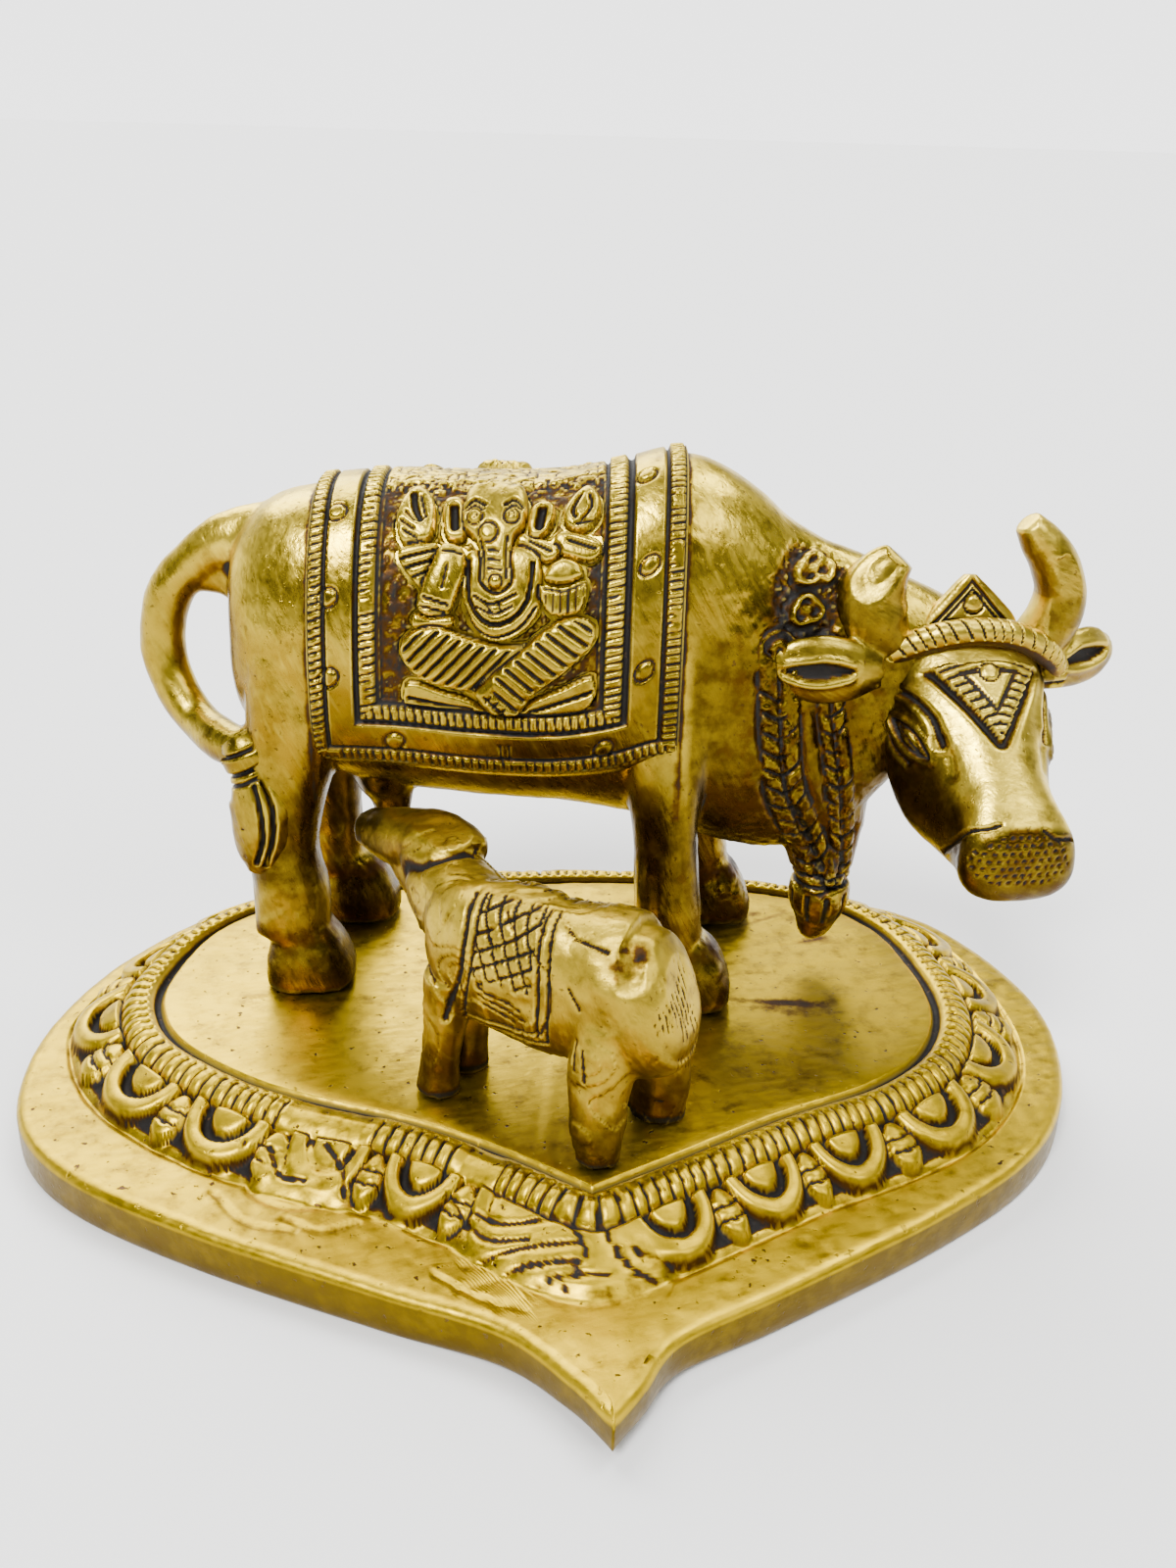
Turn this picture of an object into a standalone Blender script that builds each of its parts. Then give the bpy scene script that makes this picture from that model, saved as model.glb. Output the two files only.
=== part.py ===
# Kamdhenu cow with its calf on a leaf-shaped lotus base, cast brass, about 130 mm wide.
# Three castings: the base plate, the cow and the calf. +Z is up, the cow walks towards +X and
# the leaf's tip points towards -Y. The origin is on the base's underside.
import bpy
import bmesh
import numpy as np
from math import radians, pi
from mathutils import Matrix, Vector

# Driving dimensions, in millimetres; every solid is scaled to metres at the end
MM = 0.001
GAP = 0.3                 # air left between two castings

UNDERSIDE_Z = -0.6        # the other heights are counted from a level just above it
RIM_Z = 5.0               # top of the plain rim
FIELD_Z = 9.5             # top of the raised field that the animals stand on
BAND_WIDTH = 11.5         # rope band and petal band together
PETALS = 22
PETAL_PITCH = 14.4        # along the groove
PETAL_COLUMNS = 6         # faces along one petal
TIP_LIFT = 1.6            # the underside is worn away under the tip

COW_TURN = -6.0           # degrees, the cow's shoulder comes towards the tip
COW_PLACE = (-3.0, 23.05)
COW_FACES = 4700
COW_VOXEL = 0.62

BLANKET_BACK = -25.2      # along the cow's own axis
BLANKET_FRONT = 18.0
BLANKET_HEM = 39.6
HEM_RUN = 41.6            # from the spine down the flank to the hem
BLANKET_THICK = 0.9

CALF_RUMP = (7.6, -19.0)
CALF_AIM = (-0.85, 0.527)
CALF_FACES = 1250
CALF_VOXEL = 0.5


def spline(points, steps):
    """Smooth curve through the points; each column is one value that varies along it."""
    p = np.array(points, float)
    p = np.vstack([2 * p[0] - p[1], p, 2 * p[-1] - p[-2]])
    rows = []
    for i in range(1, len(p) - 2):
        for t in np.linspace(0, 1, steps, endpoint=False):
            rows.append(0.5 * (2 * p[i] + (p[i + 1] - p[i - 1]) * t
                               + (2 * p[i - 1] - 5 * p[i] + 4 * p[i + 1] - p[i + 2]) * t ** 2
                               + (3 * p[i] - p[i - 1] - 3 * p[i + 1] + p[i + 2]) * t ** 3))
    rows.append(p[-2])
    return np.array(rows)


def loft(bm, stations, side, steps=4, sides=28, square=2.0, egg=0.0, aim=None, place=Matrix()):
    """Closed skin over rings (x, y, z, half width, half height); side is the width's direction.

    The rings stand square to the path, or to aim where one is given.
    """
    rows = spline(stations, steps)
    ahead = np.gradient(rows[:, :3], axis=0) if aim is None else np.tile(aim, (len(rows), 1))
    previous = None
    for row, direction in zip(rows, ahead):
        along = Vector(direction).normalized()
        across = (Vector(side) - along * along.dot(Vector(side))).normalized()
        up = along.cross(across)
        ring = []
        for k in range(sides):
            a = 2 * pi * k / sides
            c, s = np.cos(a), np.sin(a)
            c = np.sign(c) * abs(c) ** (2 / square)
            s = np.sign(s) * abs(s) ** (2 / square)
            point = Vector(row[:3]) + across * row[3] * c * (1 - egg * s) + up * row[4] * s
            ring.append(bm.verts.new(place @ point))
        if previous:
            for k in range(sides):
                j = (k + 1) % sides
                bm.faces.new((previous[k], previous[j], ring[j], ring[k]))
        else:
            bm.faces.new(list(reversed(ring)))
        previous = ring
    bm.faces.new(previous)


def ball(bm, centre, radii, turn=Matrix(), place=Matrix()):
    shape = place @ Matrix.Translation(centre) @ turn @ Matrix.Diagonal((*radii, 1))
    bmesh.ops.create_icosphere(bm, subdivisions=3, radius=1, matrix=shape)


def mesh_object(name, mesh):
    obj = bpy.data.objects.new(name, mesh)
    bpy.context.scene.collection.objects.link(obj)
    return obj


def fused(name, bm, voxel, rounds):
    """The shells of bm as one skin, evened out by a few rounds of smoothing."""
    bmesh.ops.recalc_face_normals(bm, faces=bm.faces)
    mesh = bpy.data.meshes.new(name)
    bm.to_mesh(mesh)
    bm.free()
    obj = mesh_object(name, mesh)
    remesh = obj.modifiers.new("skin", "REMESH")
    remesh.mode = "VOXEL"
    remesh.voxel_size = voxel
    smooth = obj.modifiers.new("even", "SMOOTH")
    smooth.factor = 0.5
    smooth.iterations = rounds
    depsgraph = bpy.context.evaluated_depsgraph_get()
    obj.data = bpy.data.meshes.new_from_object(obj.evaluated_get(depsgraph))
    obj.modifiers.clear()
    return obj


def points_of(mesh):
    flat = np.empty(len(mesh.vertices) * 3)
    mesh.vertices.foreach_get("co", flat)
    return flat.reshape(-1, 3)


def finish(obj, colour, faces=None):
    """Stand the piece on zero in metres, thin its skin to its share of faces, give it its brass."""
    obj.data.transform(Matrix.Scale(MM, 4) @ Matrix.Translation((0, 0, -UNDERSIDE_Z)))
    obj.data.shade_smooth()
    if faces:
        thin = obj.modifiers.new("facets", "DECIMATE")
        thin.ratio = faces / (2 * len(obj.data.polygons))
    brass = bpy.data.materials.new("brass_" + obj.name)
    brass.use_nodes = True
    shader = brass.node_tree.nodes["Principled BSDF"]
    shader.inputs["Base Color"].default_value = (*colour, 1)
    shader.inputs["Metallic"].default_value = 1.0
    shader.inputs["Roughness"].default_value = 0.33
    obj.data.materials.clear()
    obj.data.materials.append(brass)


def step(edge0, edge1, x):
    t = np.clip((x - edge0) / (edge1 - edge0), 0, 1)
    return t * t * (3 - 2 * t)


def mound(x, y, cx, cy, rx, ry):
    """A soft-edged raised oval, 1 at its middle and 0 outside."""
    d = ((x - cx) / rx) ** 2 + ((y - cy) / ry) ** 2
    return step(1.25, 0.45, d)


def stroke(x, y, start, end, width):
    """A soft-edged raised bar from start to end."""
    ax, ay = end[0] - start[0], end[1] - start[1]
    t = np.clip(((x - start[0]) * ax + (y - start[1]) * ay) / (ax * ax + ay * ay), 0, 1)
    d = np.hypot(x - start[0] - t * ax, y - start[1] - t * ay)
    return step(width * 0.62, width * 0.3, d)


# Base: a heart-shaped pipal leaf with a rope band and a band of lotus petals

# outline of the leaf and of the groove round the raised field, both from the front point and
# counter-clockwise; cast by hand, so the left side isn't quite the right one's mirror image
RIM = [(0.6, -53.4), (4.1, -49.2), (8.4, -43.7), (19.5, -38.1), (39.1, -27.8), (52.9, -18.2),
       (60.8, -7.5), (65, 6.5), (64.4, 19), (58.6, 33.6), (47.7, 42.8), (31, 50), (0, 54.2),
       (-31, 50.6), (-46.3, 44), (-58.1, 30.4), (-64.2, 15.5), (-65.2, 3), (-62.6, -7.4),
       (-55, -16.4), (-40.4, -25.8), (-21.5, -35.4), (-9.5, -41.3), (-3.2, -47.8)]
GROOVE = [(1, -27.2), (9.3, -23.1), (22.7, -16.2), (35.6, -10.6), (43.5, -4.4), (48, 4.5),
          (48.4, 15), (45.8, 26.5), (38, 35), (20, 40.6), (0, 42), (-20, 41), (-36, 37.6),
          (-45.5, 29.5), (-49.9, 17), (-49.2, 8.5), (-44.6, 1), (-33.8, -7.4), (-19.1, -13.9),
          (-9.8, -19.2)]


def leaf(loop, count):
    """Evenly spaced points of the outline, starting at the front point."""
    closed = spline(loop + loop[:1], 24)[:, :2]
    length = np.concatenate([[0], np.cumsum(np.hypot(*np.diff(closed, axis=0).T))])
    at = np.linspace(0, length[-1], count, endpoint=False)
    return np.column_stack([np.interp(at, length, closed[:, k]) for k in (0, 1)])


def outward(points):
    run = np.roll(points, -1, axis=0) - np.roll(points, 1, axis=0)
    run /= np.hypot(*run.T)[:, None]
    return np.column_stack([run[:, 1], -run[:, 0]])


def petal_height(phase, w):
    """Raised lotus petals; phase runs 0 to 1 over one petal, w is the distance from the groove."""
    a = (phase - 0.5) * PETAL_PITCH
    petal = step(1.1, 0.8, (a / 5.6) ** 2 + ((w - 4.6) / 6.6) ** 2)
    heart = step(1.1, 0.7, (a / 2.6) ** 2 + ((w - 4.6) / 3.0) ** 2)
    bud = step(1.2, 0.7, ((abs(a) - PETAL_PITCH / 2) / 1.9) ** 2 + ((w - 9.4) / 1.7) ** 2)
    return 1.2 * petal - 0.7 * heart + 0.9 * bud - 0.5 * (1 - petal) * (1 - bud)


def make_base():
    count = PETALS * PETAL_COLUMNS
    groove = leaf(GROOVE, count)
    rim = leaf(RIM, count)
    normal = outward(groove)
    phase = (np.arange(count) / PETAL_COLUMNS) % 1
    # distance from the groove and plain height of each ring of points
    profile = [(-0.7, FIELD_Z), (0.0, 8.8), (0.8, 9.4), (2.4, 10.1), (4.1, 9.3), (4.7, 8.3),
               (6.6, 7.5), (8.6, 6.7), (10.4, 5.9), (BAND_WIDTH, RIM_Z)]
    rings = []
    # the bands narrow where the rim comes close, at the back of the leaf
    reach = np.array([np.hypot(*(rim - point).T).min() for point in groove])
    squeeze = np.minimum(1, (reach - 2.4) / BAND_WIDTH)[:, None]
    for w, z in profile:
        height = np.full(count, z)
        if 4.7 < w < BAND_WIDTH:
            height += petal_height(phase, w)
        rings.append(np.column_stack([groove + normal * w * squeeze, height]))
    inward = -outward(rim)
    worn = TIP_LIFT * np.exp(-((rim[:, 0] / 16) ** 2 + ((rim[:, 1] + 54) / 14) ** 2))
    for inset, z in ((0.9, RIM_Z), (0.0, RIM_Z - 0.9)):
        rings.append(np.column_stack([rim + inward * inset, np.full(count, z)]))
    rings.append(np.column_stack([rim, UNDERSIDE_Z + worn + 0.4]))
    rings.append(np.column_stack([rim + inward * 0.4, UNDERSIDE_Z + worn]))
    rings.append(np.column_stack([rim * 0.74, np.full(count, UNDERSIDE_Z)]))
    bm = bmesh.new()
    loops = [[bm.verts.new(point) for point in ring] for ring in rings]
    for inner, outer in zip(loops, loops[1:]):
        for i in range(count):
            j = (i + 1) % count
            bm.faces.new((inner[i], outer[i], outer[j], inner[j]))
    bm.faces.new(loops[0])
    bm.faces.new(list(reversed(loops[-1])))
    bmesh.ops.recalc_face_normals(bm, faces=bm.faces)
    mesh = bpy.data.meshes.new("leaf_base")
    bm.to_mesh(mesh)
    bm.free()
    finish(mesh_object("leaf_base", mesh), (0.62, 0.42, 0.12))


# Cow, in her own frame: x runs from tail to brow and y = 0 is the middle of her back

COW = Matrix.Translation((*COW_PLACE, 0)) @ Matrix.Rotation(radians(COW_TURN), 4, "Z")

# x, top, bottom, half width of the trunk and neck
TRUNK = [(-36.2, 61, 50, 4.0), (-35.0, 66.4, 44, 8.4), (-31, 70.2, 39.5, 11.4),
         (-25, 72.0, 37, 13.2), (-16, 73.0, 35, 14.0), (-6, 73.0, 34, 14.2), (3, 73.5, 33.5, 14.2),
         (10, 74.8, 32.5, 13.9), (15, 76.3, 31.5, 13.2), (19, 76.6, 30, 12.5), (23, 75.2, 28.6, 11.6),
         (27, 72.6, 27.6, 10.6), (31, 69.4, 27, 9.4), (35, 67.0, 27.4, 8.4), (39, 65.6, 29.4, 7.6),
         (43, 63.8, 33.5, 7), (47, 62.0, 39, 6.4), (51, 60.0, 45, 5.4), (54, 57.6, 50, 3.2)]


def trunk_loft(bm, swell, span=(-99, 99)):
    rows = [(x, 0, (top + low) / 2, half + swell, (top - low) / 2 + swell)
            for x, top, low, half in TRUNK if span[0] < x < span[1]]
    loft(bm, rows, (0, 1, 0), sides=48, square=2.3, egg=0.1, aim=(1, 0, 0), place=COW)


def leg(bm, stations, hoof_x, hoof_y):
    """A straight leg with a flat step above a wedge-shaped hoof."""
    loft(bm, stations, (1, 0, 0), sides=20, square=2.5, place=COW)
    floor = FIELD_Z + GAP
    hoof = [(hoof_x, hoof_y, floor, 5.5, 4.7), (hoof_x - 0.1, hoof_y, floor + 2.2, 5.6, 4.8),
            (hoof_x - 0.6, hoof_y, floor + 5.2, 4.9, 4.4), (hoof_x - 1.4, hoof_y, 18.0, 3.4, 3.6)]
    loft(bm, hoof, (1, 0, 0), sides=20, square=3.0, place=COW)


def cow_legs(bm):
    leg(bm, [(-27.6, -6.0, 52, 6.4, 6.6), (-28.2, -7.6, 44, 5.8, 6.2), (-29.4, -8.6, 36, 4.9, 5.2),
             (-30.1, -9.0, 29, 4.2, 4.3), (-29.5, -9.2, 22, 4.7, 4.2), (-29.5, -9.2, 17, 4.7, 4.2)],
        -27.4, -9.2)
    leg(bm, [(-27, 6.0, 52, 6.4, 6.6), (-27.4, 7.6, 44, 5.8, 6.2), (-27.4, 8.6, 36, 4.8, 5.2),
             (-27.2, 9.0, 29, 3.9, 4.2), (-27, 9.2, 22, 3.8, 4.0), (-26.6, 9.2, 17, 3.9, 4.0)],
        -24.0, 9.2)
    leg(bm, [(16, -6.4, 50, 7.5, 6.6), (16.6, -8.4, 42, 6.0, 5.4), (17.0, -10.2, 35, 4.2, 4.4),
             (17.5, -11.1, 27, 4.0, 4.2), (18.0, -11.4, 21, 4.2, 4.2), (18.4, -11.5, 17, 4.2, 4.1)],
        20.9, -11.5)
    leg(bm, [(18, 6.4, 50, 7.5, 6.6), (19.6, 8.4, 42, 6.0, 5.4), (21, 10.2, 35, 4.2, 4.4),
             (22, 11.1, 27, 4.0, 4.2), (22.8, 11.4, 21, 4.2, 4.2), (23.2, 11.5, 17, 4.2, 4.1)],
        25.2, 11.5)


def cow_tail(bm):
    loft(bm, [(-32, 0, 65.6, 3.4, 4.0), (-37.2, 0, 64.6, 3.0, 3.4), (-41.6, 0, 61.4, 2.7, 2.9),
              (-44.6, 0, 57.2, 2.7, 2.8), (-45.6, -0.2, 51.8, 2.7, 2.8),
              (-44.4, -1.2, 47.0, 2.6, 2.7), (-41.3, -3.6, 43.2, 2.5, 2.6),
              (-37.2, -7.6, 41.9, 2.6, 2.6), (-34.0, -9.8, 41.6, 2.7, 2.6)],
         (0, 1, 0), sides=16, place=COW)
    loft(bm, [(-34, 0, 61.0, 1.8, 5.4), (-37.4, 0, 61.4, 1.8, 4.0), (-40.6, 0, 60.6, 1.8, 2.4)],
         (0, 1, 0), sides=12, place=COW)
    loft(bm, [(-34.6, -9.8, 43.2, 2.4, 2.3), (-33.4, -10.6, 41.6, 3.4, 2.8),
              (-33.0, -11.0, 39.6, 2.8, 2.5), (-31.8, -11.6, 36.2, 4.1, 2.9),
              (-31.9, -11.7, 32.2, 3.8, 2.9), (-32.4, -11.6, 28.6, 2.9, 2.3),
              (-32.9, -11.5, 26.4, 1.4, 1.3)],
         (1, 0, 0), sides=16, place=COW)


def cow_dewlap(bm):
    loft(bm, [(36.8, -1.0, 38, 6.6, 6.0), (37.4, -1.2, 31, 5.9, 4.8), (37.9, -1.3, 27.5, 4.8, 4.0),
              (38.3, -1.3, 24, 3.9, 3.5),
              (38.3, -1.3, 22.6, 3.4, 3.2), (38.3, -1.3, 21.8, 4.0, 3.7),
              (38.3, -1.3, 19.0, 4.0, 3.7), (38.2, -1.3, 16.9, 3.0, 2.8),
              (37.8, -1.3, 14.6, 2.0, 1.9), (37.6, -1.3, 13.4, 1.0, 1.0)],
         (1, 0, 0), sides=20, place=COW)


def cow_udder(bm):
    ball(bm, (-17.8, -4.6, 38), (4.2, 4.6, 4.8), place=COW)
    loft(bm, [(-17.4, -5, 36, 3.3, 3.2), (-17.1, -5, 33.4, 2.5, 2.4), (-17.0, -5, 30.8, 2.0, 1.9)],
         (1, 0, 0), sides=14, place=COW)


# Head, turned to face the tip of the leaf
HEAD_TURN = radians(4)
FACING = Vector((np.sin(HEAD_TURN), -np.cos(HEAD_TURN), 0))
LEFT = Vector((np.cos(HEAD_TURN), np.sin(HEAD_TURN), 0))


def cow_head(bm):
    """Wedge-shaped head; the rings stand upright, from the poll to the flat end of the muzzle."""
    rows = [(49.2, 19.4, 53.0, 4.4, 4.6), (49.3, 17.6, 51.0, 8.0, 8.4), (49.5, 15.0, 48.0, 9.8, 10.8),
            (49.8, 12.0, 45.2, 10.0, 11.4), (50.2, 8.6, 42.6, 9.2, 11.0), (50.7, 5.0, 40.4, 7.6, 9.6),
            (51.2, 1.4, 38.1, 6.3, 7.8), (51.6, -1.6, 36.5, 6.5, 6.4), (51.9, -3.4, 35.5, 7.1, 5.4),
            (52.1, -4.6, 35.1, 6.7, 4.7)]
    loft(bm, rows, LEFT, sides=36, square=2.5, egg=0.06, aim=FACING)


def cow_horns(bm):
    near = [(39.6, 15.2, 55.5, 3.4, 3.6), (37.6, 15.0, 58.4, 4.1, 4.1), (37.4, 14.8, 61.4, 3.8, 3.6),
            (38.4, 14.4, 64.4, 2.9, 2.8), (39.8, 14.2, 66.4, 1.9, 2.0)]
    far = [(58.6, 16.2, 55.5, 3.2, 3.4), (60.2, 16.0, 58.6, 3.3, 3.4), (60.4, 15.8, 62.0, 3.1, 3.2),
           (58.8, 15.6, 65.6, 2.9, 2.9), (56.8, 15.6, 68.2, 2.4, 2.4), (55.0, 15.6, 70.2, 1.6, 1.8)]
    for rows in (near, far):
        loft(bm, rows, (1, 0, 0), sides=16)


def cow_ears(bm):
    near = [(38.0, 12.6, 53.0, 1.6, 2.4), (34.4, 11.6, 53.1, 1.7, 3.8), (30.2, 11.2, 53.5, 1.6, 4.3),
            (26.6, 11.3, 54.2, 1.3, 3.2), (24.2, 11.6, 54.8, 0.7, 1.0)]
    far = [(58.6, 14.8, 52.4, 1.6, 2.6), (62.4, 16.2, 52.6, 1.7, 3.5), (66.0, 17.8, 53.0, 1.7, 3.6),
           (68.4, 19.0, 53.5, 1.4, 2.8), (69.8, 19.8, 54.0, 0.8, 1.4)]
    for rows in (near, far):
        loft(bm, rows, (0, 1, 0), sides=16)


def cow_crown(bm):
    """Headband across the brow and the pointed plate above it."""
    band = [(37.9, 15.0, 53.0, 1.4, 1.5), (40.8, 13.6, 54.9, 1.4, 1.5), (45.0, 12.6, 56.8, 1.4, 1.5),
            (49.6, 12.3, 57.5, 1.4, 1.5), (54.4, 12.8, 56.7, 1.4, 1.5), (58.6, 14.0, 54.4, 1.4, 1.5),
            (60.8, 15.6, 52.0, 1.4, 1.5)]
    loft(bm, band, (0, 0.6, 0.8), sides=12)
    loft(bm, [(49.0, 14.2, 56.4, 6.6, 1.8), (48.9, 14.4, 58.8, 5.6, 1.5), (48.8, 14.6, 60.8, 3.9, 1.3),
              (48.7, 14.8, 62.8, 2.0, 1.1), (48.7, 15.0, 64.0, 0.7, 0.8)],
         (1, 0, 0), sides=16, square=3)


# seated elephant-headed figure on each flank: (x, run down the flank) in the cow's frame
FIGURE_MOUNDS = [(-3.8, 9.6, 3.8, 4.4), (-8.7, 11.2, 1.5, 2.7), (1.2, 11.4, 1.5, 2.7),
                 (-3.0, 20.2, 4.4, 4.6), (-12.8, 10.2, 2.0, 4.4), (6.2, 10.8, 2.0, 4.2),
                 (4.0, 18.6, 2.5, 2.5)]
FIGURE_LIMBS = [((-4.2, 13), (-3.6, 18.4), 3.0), ((-9.4, 14.4), (-10.0, 20.4), 4.2),
                ((-12.0, 15), (-8.4, 14.2), 3.0), ((5.4, 15), (1.6, 13.6), 3.0),
                ((-12.6, 25.6), (-3, 27.6), 6.0), ((6.0, 24.6), (-2.4, 29.4), 5.4),
                ((-14.2, 32.4), (7.4, 32.4), 2.0)]


def blanket(bm):
    """The saddle cloth: the trunk's own skin, a little proud and cut off at its hem."""
    cloth = bmesh.new()
    trunk_loft(cloth, BLANKET_THICK)
    along = COW.to_3x3() @ Vector((1, 0, 0))
    cuts = [(COW @ Vector((BLANKET_BACK, 0, 43.5)), COW.to_3x3() @ Vector((-1, 0, -0.04))),
            (COW @ Vector((BLANKET_FRONT, 0, 50)), along),
            (COW @ Vector((0, 0, BLANKET_HEM)), COW.to_3x3() @ Vector((-0.05, 0, -1)))]
    for point, normal in cuts:
        cut = bmesh.ops.bisect_plane(cloth, geom=cloth.verts[:] + cloth.edges[:] + cloth.faces[:],
                                     plane_co=point, plane_no=normal, clear_outer=True)
        edges = [e for e in cut["geom_cut"] if isinstance(e, bmesh.types.BMEdge)]
        bmesh.ops.holes_fill(cloth, edges=edges, sides=0)
    mesh = bpy.data.meshes.new("cloth")
    cloth.to_mesh(mesh)
    cloth.free()
    bm.from_mesh(mesh)
    bpy.data.meshes.remove(mesh)


def cloth_relief(x, v):
    """Height of the border bands and the seated figure; v runs down the flank from the spine."""
    edge = np.minimum.reduce([x - BLANKET_BACK, BLANKET_FRONT - x, HEM_RUN - v + 0.09 * x])
    height = 0.4 * step(-0.3, 0.2, edge) * step(2.6, 2.1, edge)
    height -= 0.5 * step(5.2, 5.7, edge) * step(6.5, 6.0, edge)
    height += 0.4 * step(6.4, 6.8, edge) * step(8.9, 8.4, edge)
    panel = step(8.8, 9.4, edge) * step(4, 8, v)
    figure = np.zeros_like(x)
    for cx, cv, rx, rv in FIGURE_MOUNDS:
        figure = np.maximum(figure, mound(x, v, cx, cv, rx, rv))
    for start, end, width in FIGURE_LIMBS:
        figure = np.maximum(figure, stroke(x, v, start, end, width))
    return height + panel * (1.2 * figure - 0.4)


def carve_cloth(mesh):
    """Push the cloth's skin in and out along its own normal, on both flanks alike."""
    points = points_of(mesh)
    inverse = np.array(COW.inverted())
    own = points @ inverse[:3, :3].T + inverse[:3, 3]
    x, y, z = own.T
    rows = spline(TRUNK, 8)
    top, low, half = [np.interp(x, rows[:, 0], rows[:, k]) for k in (1, 2, 3)]
    tall, wide = (top - low) / 2 + BLANKET_THICK, half + BLANKET_THICK
    up = np.clip((z - (top + low) / 2) / tall, -1, 1)
    # how far down the flank a height lies, measured once on a section of the usual shape
    turn = np.linspace(pi / 2, -pi / 2, 200)
    ring_y = 0.74 * np.abs(np.cos(turn)) ** (2 / 2.3)
    ring_z = np.sign(turn) * np.abs(np.sin(turn)) ** (2 / 2.3)
    run = np.concatenate([[0], np.cumsum(np.hypot(np.diff(ring_y), np.diff(ring_z)))])
    v = tall * np.interp(-up, -ring_z, run)
    out = np.column_stack([np.zeros_like(x), np.sign(y) * np.abs(y / wide) ** 1.3 / wide,
                           np.sign(up) * np.abs(up) ** 1.3 / tall])
    out /= np.linalg.norm(out, axis=1)[:, None] + 1e-9
    on_cloth = (x > BLANKET_BACK) & (x < BLANKET_FRONT) & (v < HEM_RUN + 0.09 * x)
    push = np.where(on_cloth, cloth_relief(x, v), 0)[:, None] * out
    mesh.vertices.foreach_set("co", (points + push @ np.array(COW.to_3x3()).T).ravel())


def make_cow():
    bm = bmesh.new()
    trunk_loft(bm, 0)
    cow_legs(bm)
    cow_tail(bm)
    cow_dewlap(bm)
    cow_udder(bm)
    cow_head(bm)
    cow_horns(bm)
    cow_ears(bm)
    cow_crown(bm)
    blanket(bm)
    cow = fused("cow", bm, COW_VOXEL, 2)
    carve_cloth(cow.data)
    finish(cow, (0.66, 0.46, 0.15), COW_FACES)


# Calf, standing across the leaf with its nose at the udder

def make_calf():
    ahead = Vector((*CALF_AIM, 0)).normalized()
    left = Vector((-ahead.y, ahead.x, 0))
    rump = Vector((*CALF_RUMP, 0))
    frame = Matrix(((ahead.x, left.x, 0, rump.x), (ahead.y, left.y, 0, rump.y),
                    (0, 0, 1, 0), (0, 0, 0, 1)))
    floor = FIELD_Z + GAP
    bm = bmesh.new()
    loft(bm, [(-3.4, 0, 29.2, 3.2, 4.4), (-2.2, 0, 28.8, 5.4, 7.0), (1, 0, 27.8, 6.7, 9.0),
              (8, 0, 27.5, 6.4, 9.2), (16, 0, 27.8, 6.1, 8.8), (21, 0, 27.9, 5.7, 8.3),
              (24.6, 0, 28.0, 4.3, 6.8), (26.6, 0, 27.8, 2.4, 4.2)],
         (0, 1, 0), sides=28, square=2.3, place=frame)
    loft(bm, [(-9.4, -6.4, 29.0, 5.4, 7.4), (-11.6, -3.2, 30.4, 5.4, 5.7), (-13.6, 1.0, 31.4, 5.2, 4.4),
              (-14.6, 4.2, 32.6, 4.8, 3.7), (-15.2, 6.4, 33.2, 4.4, 3.3)], (1, 0, 0), sides=20)
    head = [(-11.4, 1.2, 34.0, 2.4, 2.0), (-12.0, 2.0, 34.2, 3.9, 3.0), (-14.2, 5.0, 34.0, 4.3, 3.6),
            (-17.4, 8.6, 33.3, 4.0, 3.7), (-20.6, 11.8, 32.6, 3.2, 3.2), (-23.4, 14.4, 32.4, 2.3, 2.2)]
    loft(bm, head, (0.73, 0.68, 0), sides=20, square=2.3)
    throat = [(-18.2, 9.0, 31.6, 2.8, 2.6), (-15.7, 5.6, 29.4, 3.6, 3.6), (-12.8, 1.6, 26.8, 4.0, 4.2),
              (-10.6, -2.0, 24.6, 4.2, 4.6)]
    loft(bm, throat, (1, 0, 0), sides=20)
    hind = [[(0.5, -3.6, 26, 4.2, 3.4), (0.8, -4.6, 19.6, 3.9, 3.2), (1.0, -5.2, 14, 3.6, 3.1),
             (1.2, -5.4, floor, 3.4, 3.0)],
            [(3.0, 3.6, 26, 4.2, 3.4), (3.4, 4.8, 19.6, 3.7, 3.1), (3.2, 5.6, 14, 2.9, 2.7),
             (2.8, 6.0, floor, 2.3, 2.3)]]
    for stations in hind:
        loft(bm, stations, (1, 0, 0), sides=14, place=frame)
    for side in (-1, 1):
        loft(bm, [(23, 2.6 * side, 25, 3.2, 3.0), (24, 2.9 * side, 18, 2.4, 2.3),
                  (24.6, 3.0 * side, 13, 2.3, 2.2), (24.8, 3.1 * side, floor, 2.5, 2.4)],
             (1, 0, 0), sides=14, place=frame)
        loft(bm, [(-13.2 + 2.0 * side, 4.0 + 1.9 * side, 34.4, 1.2, 1.8),
                  (-12.4 + 3.2 * side, 2.8 + 3.0 * side, 33.8, 1.0, 1.7)], (1, 0, 0), sides=10)
    calf = fused("calf", bm, CALF_VOXEL, 3)
    finish(calf, (0.64, 0.44, 0.14), CALF_FACES)


for old in list(bpy.data.objects):
    bpy.data.objects.remove(old, do_unlink=True)
make_base()
make_cow()
make_calf()
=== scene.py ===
# Kamdhenu cow and calf in cast brass on a leaf-shaped base: the finished surface round the solids
from itertools import product
from math import cos, pi, radians, sin

import bmesh
import bpy
import numpy as np
from mathutils import Matrix, Vector


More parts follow.
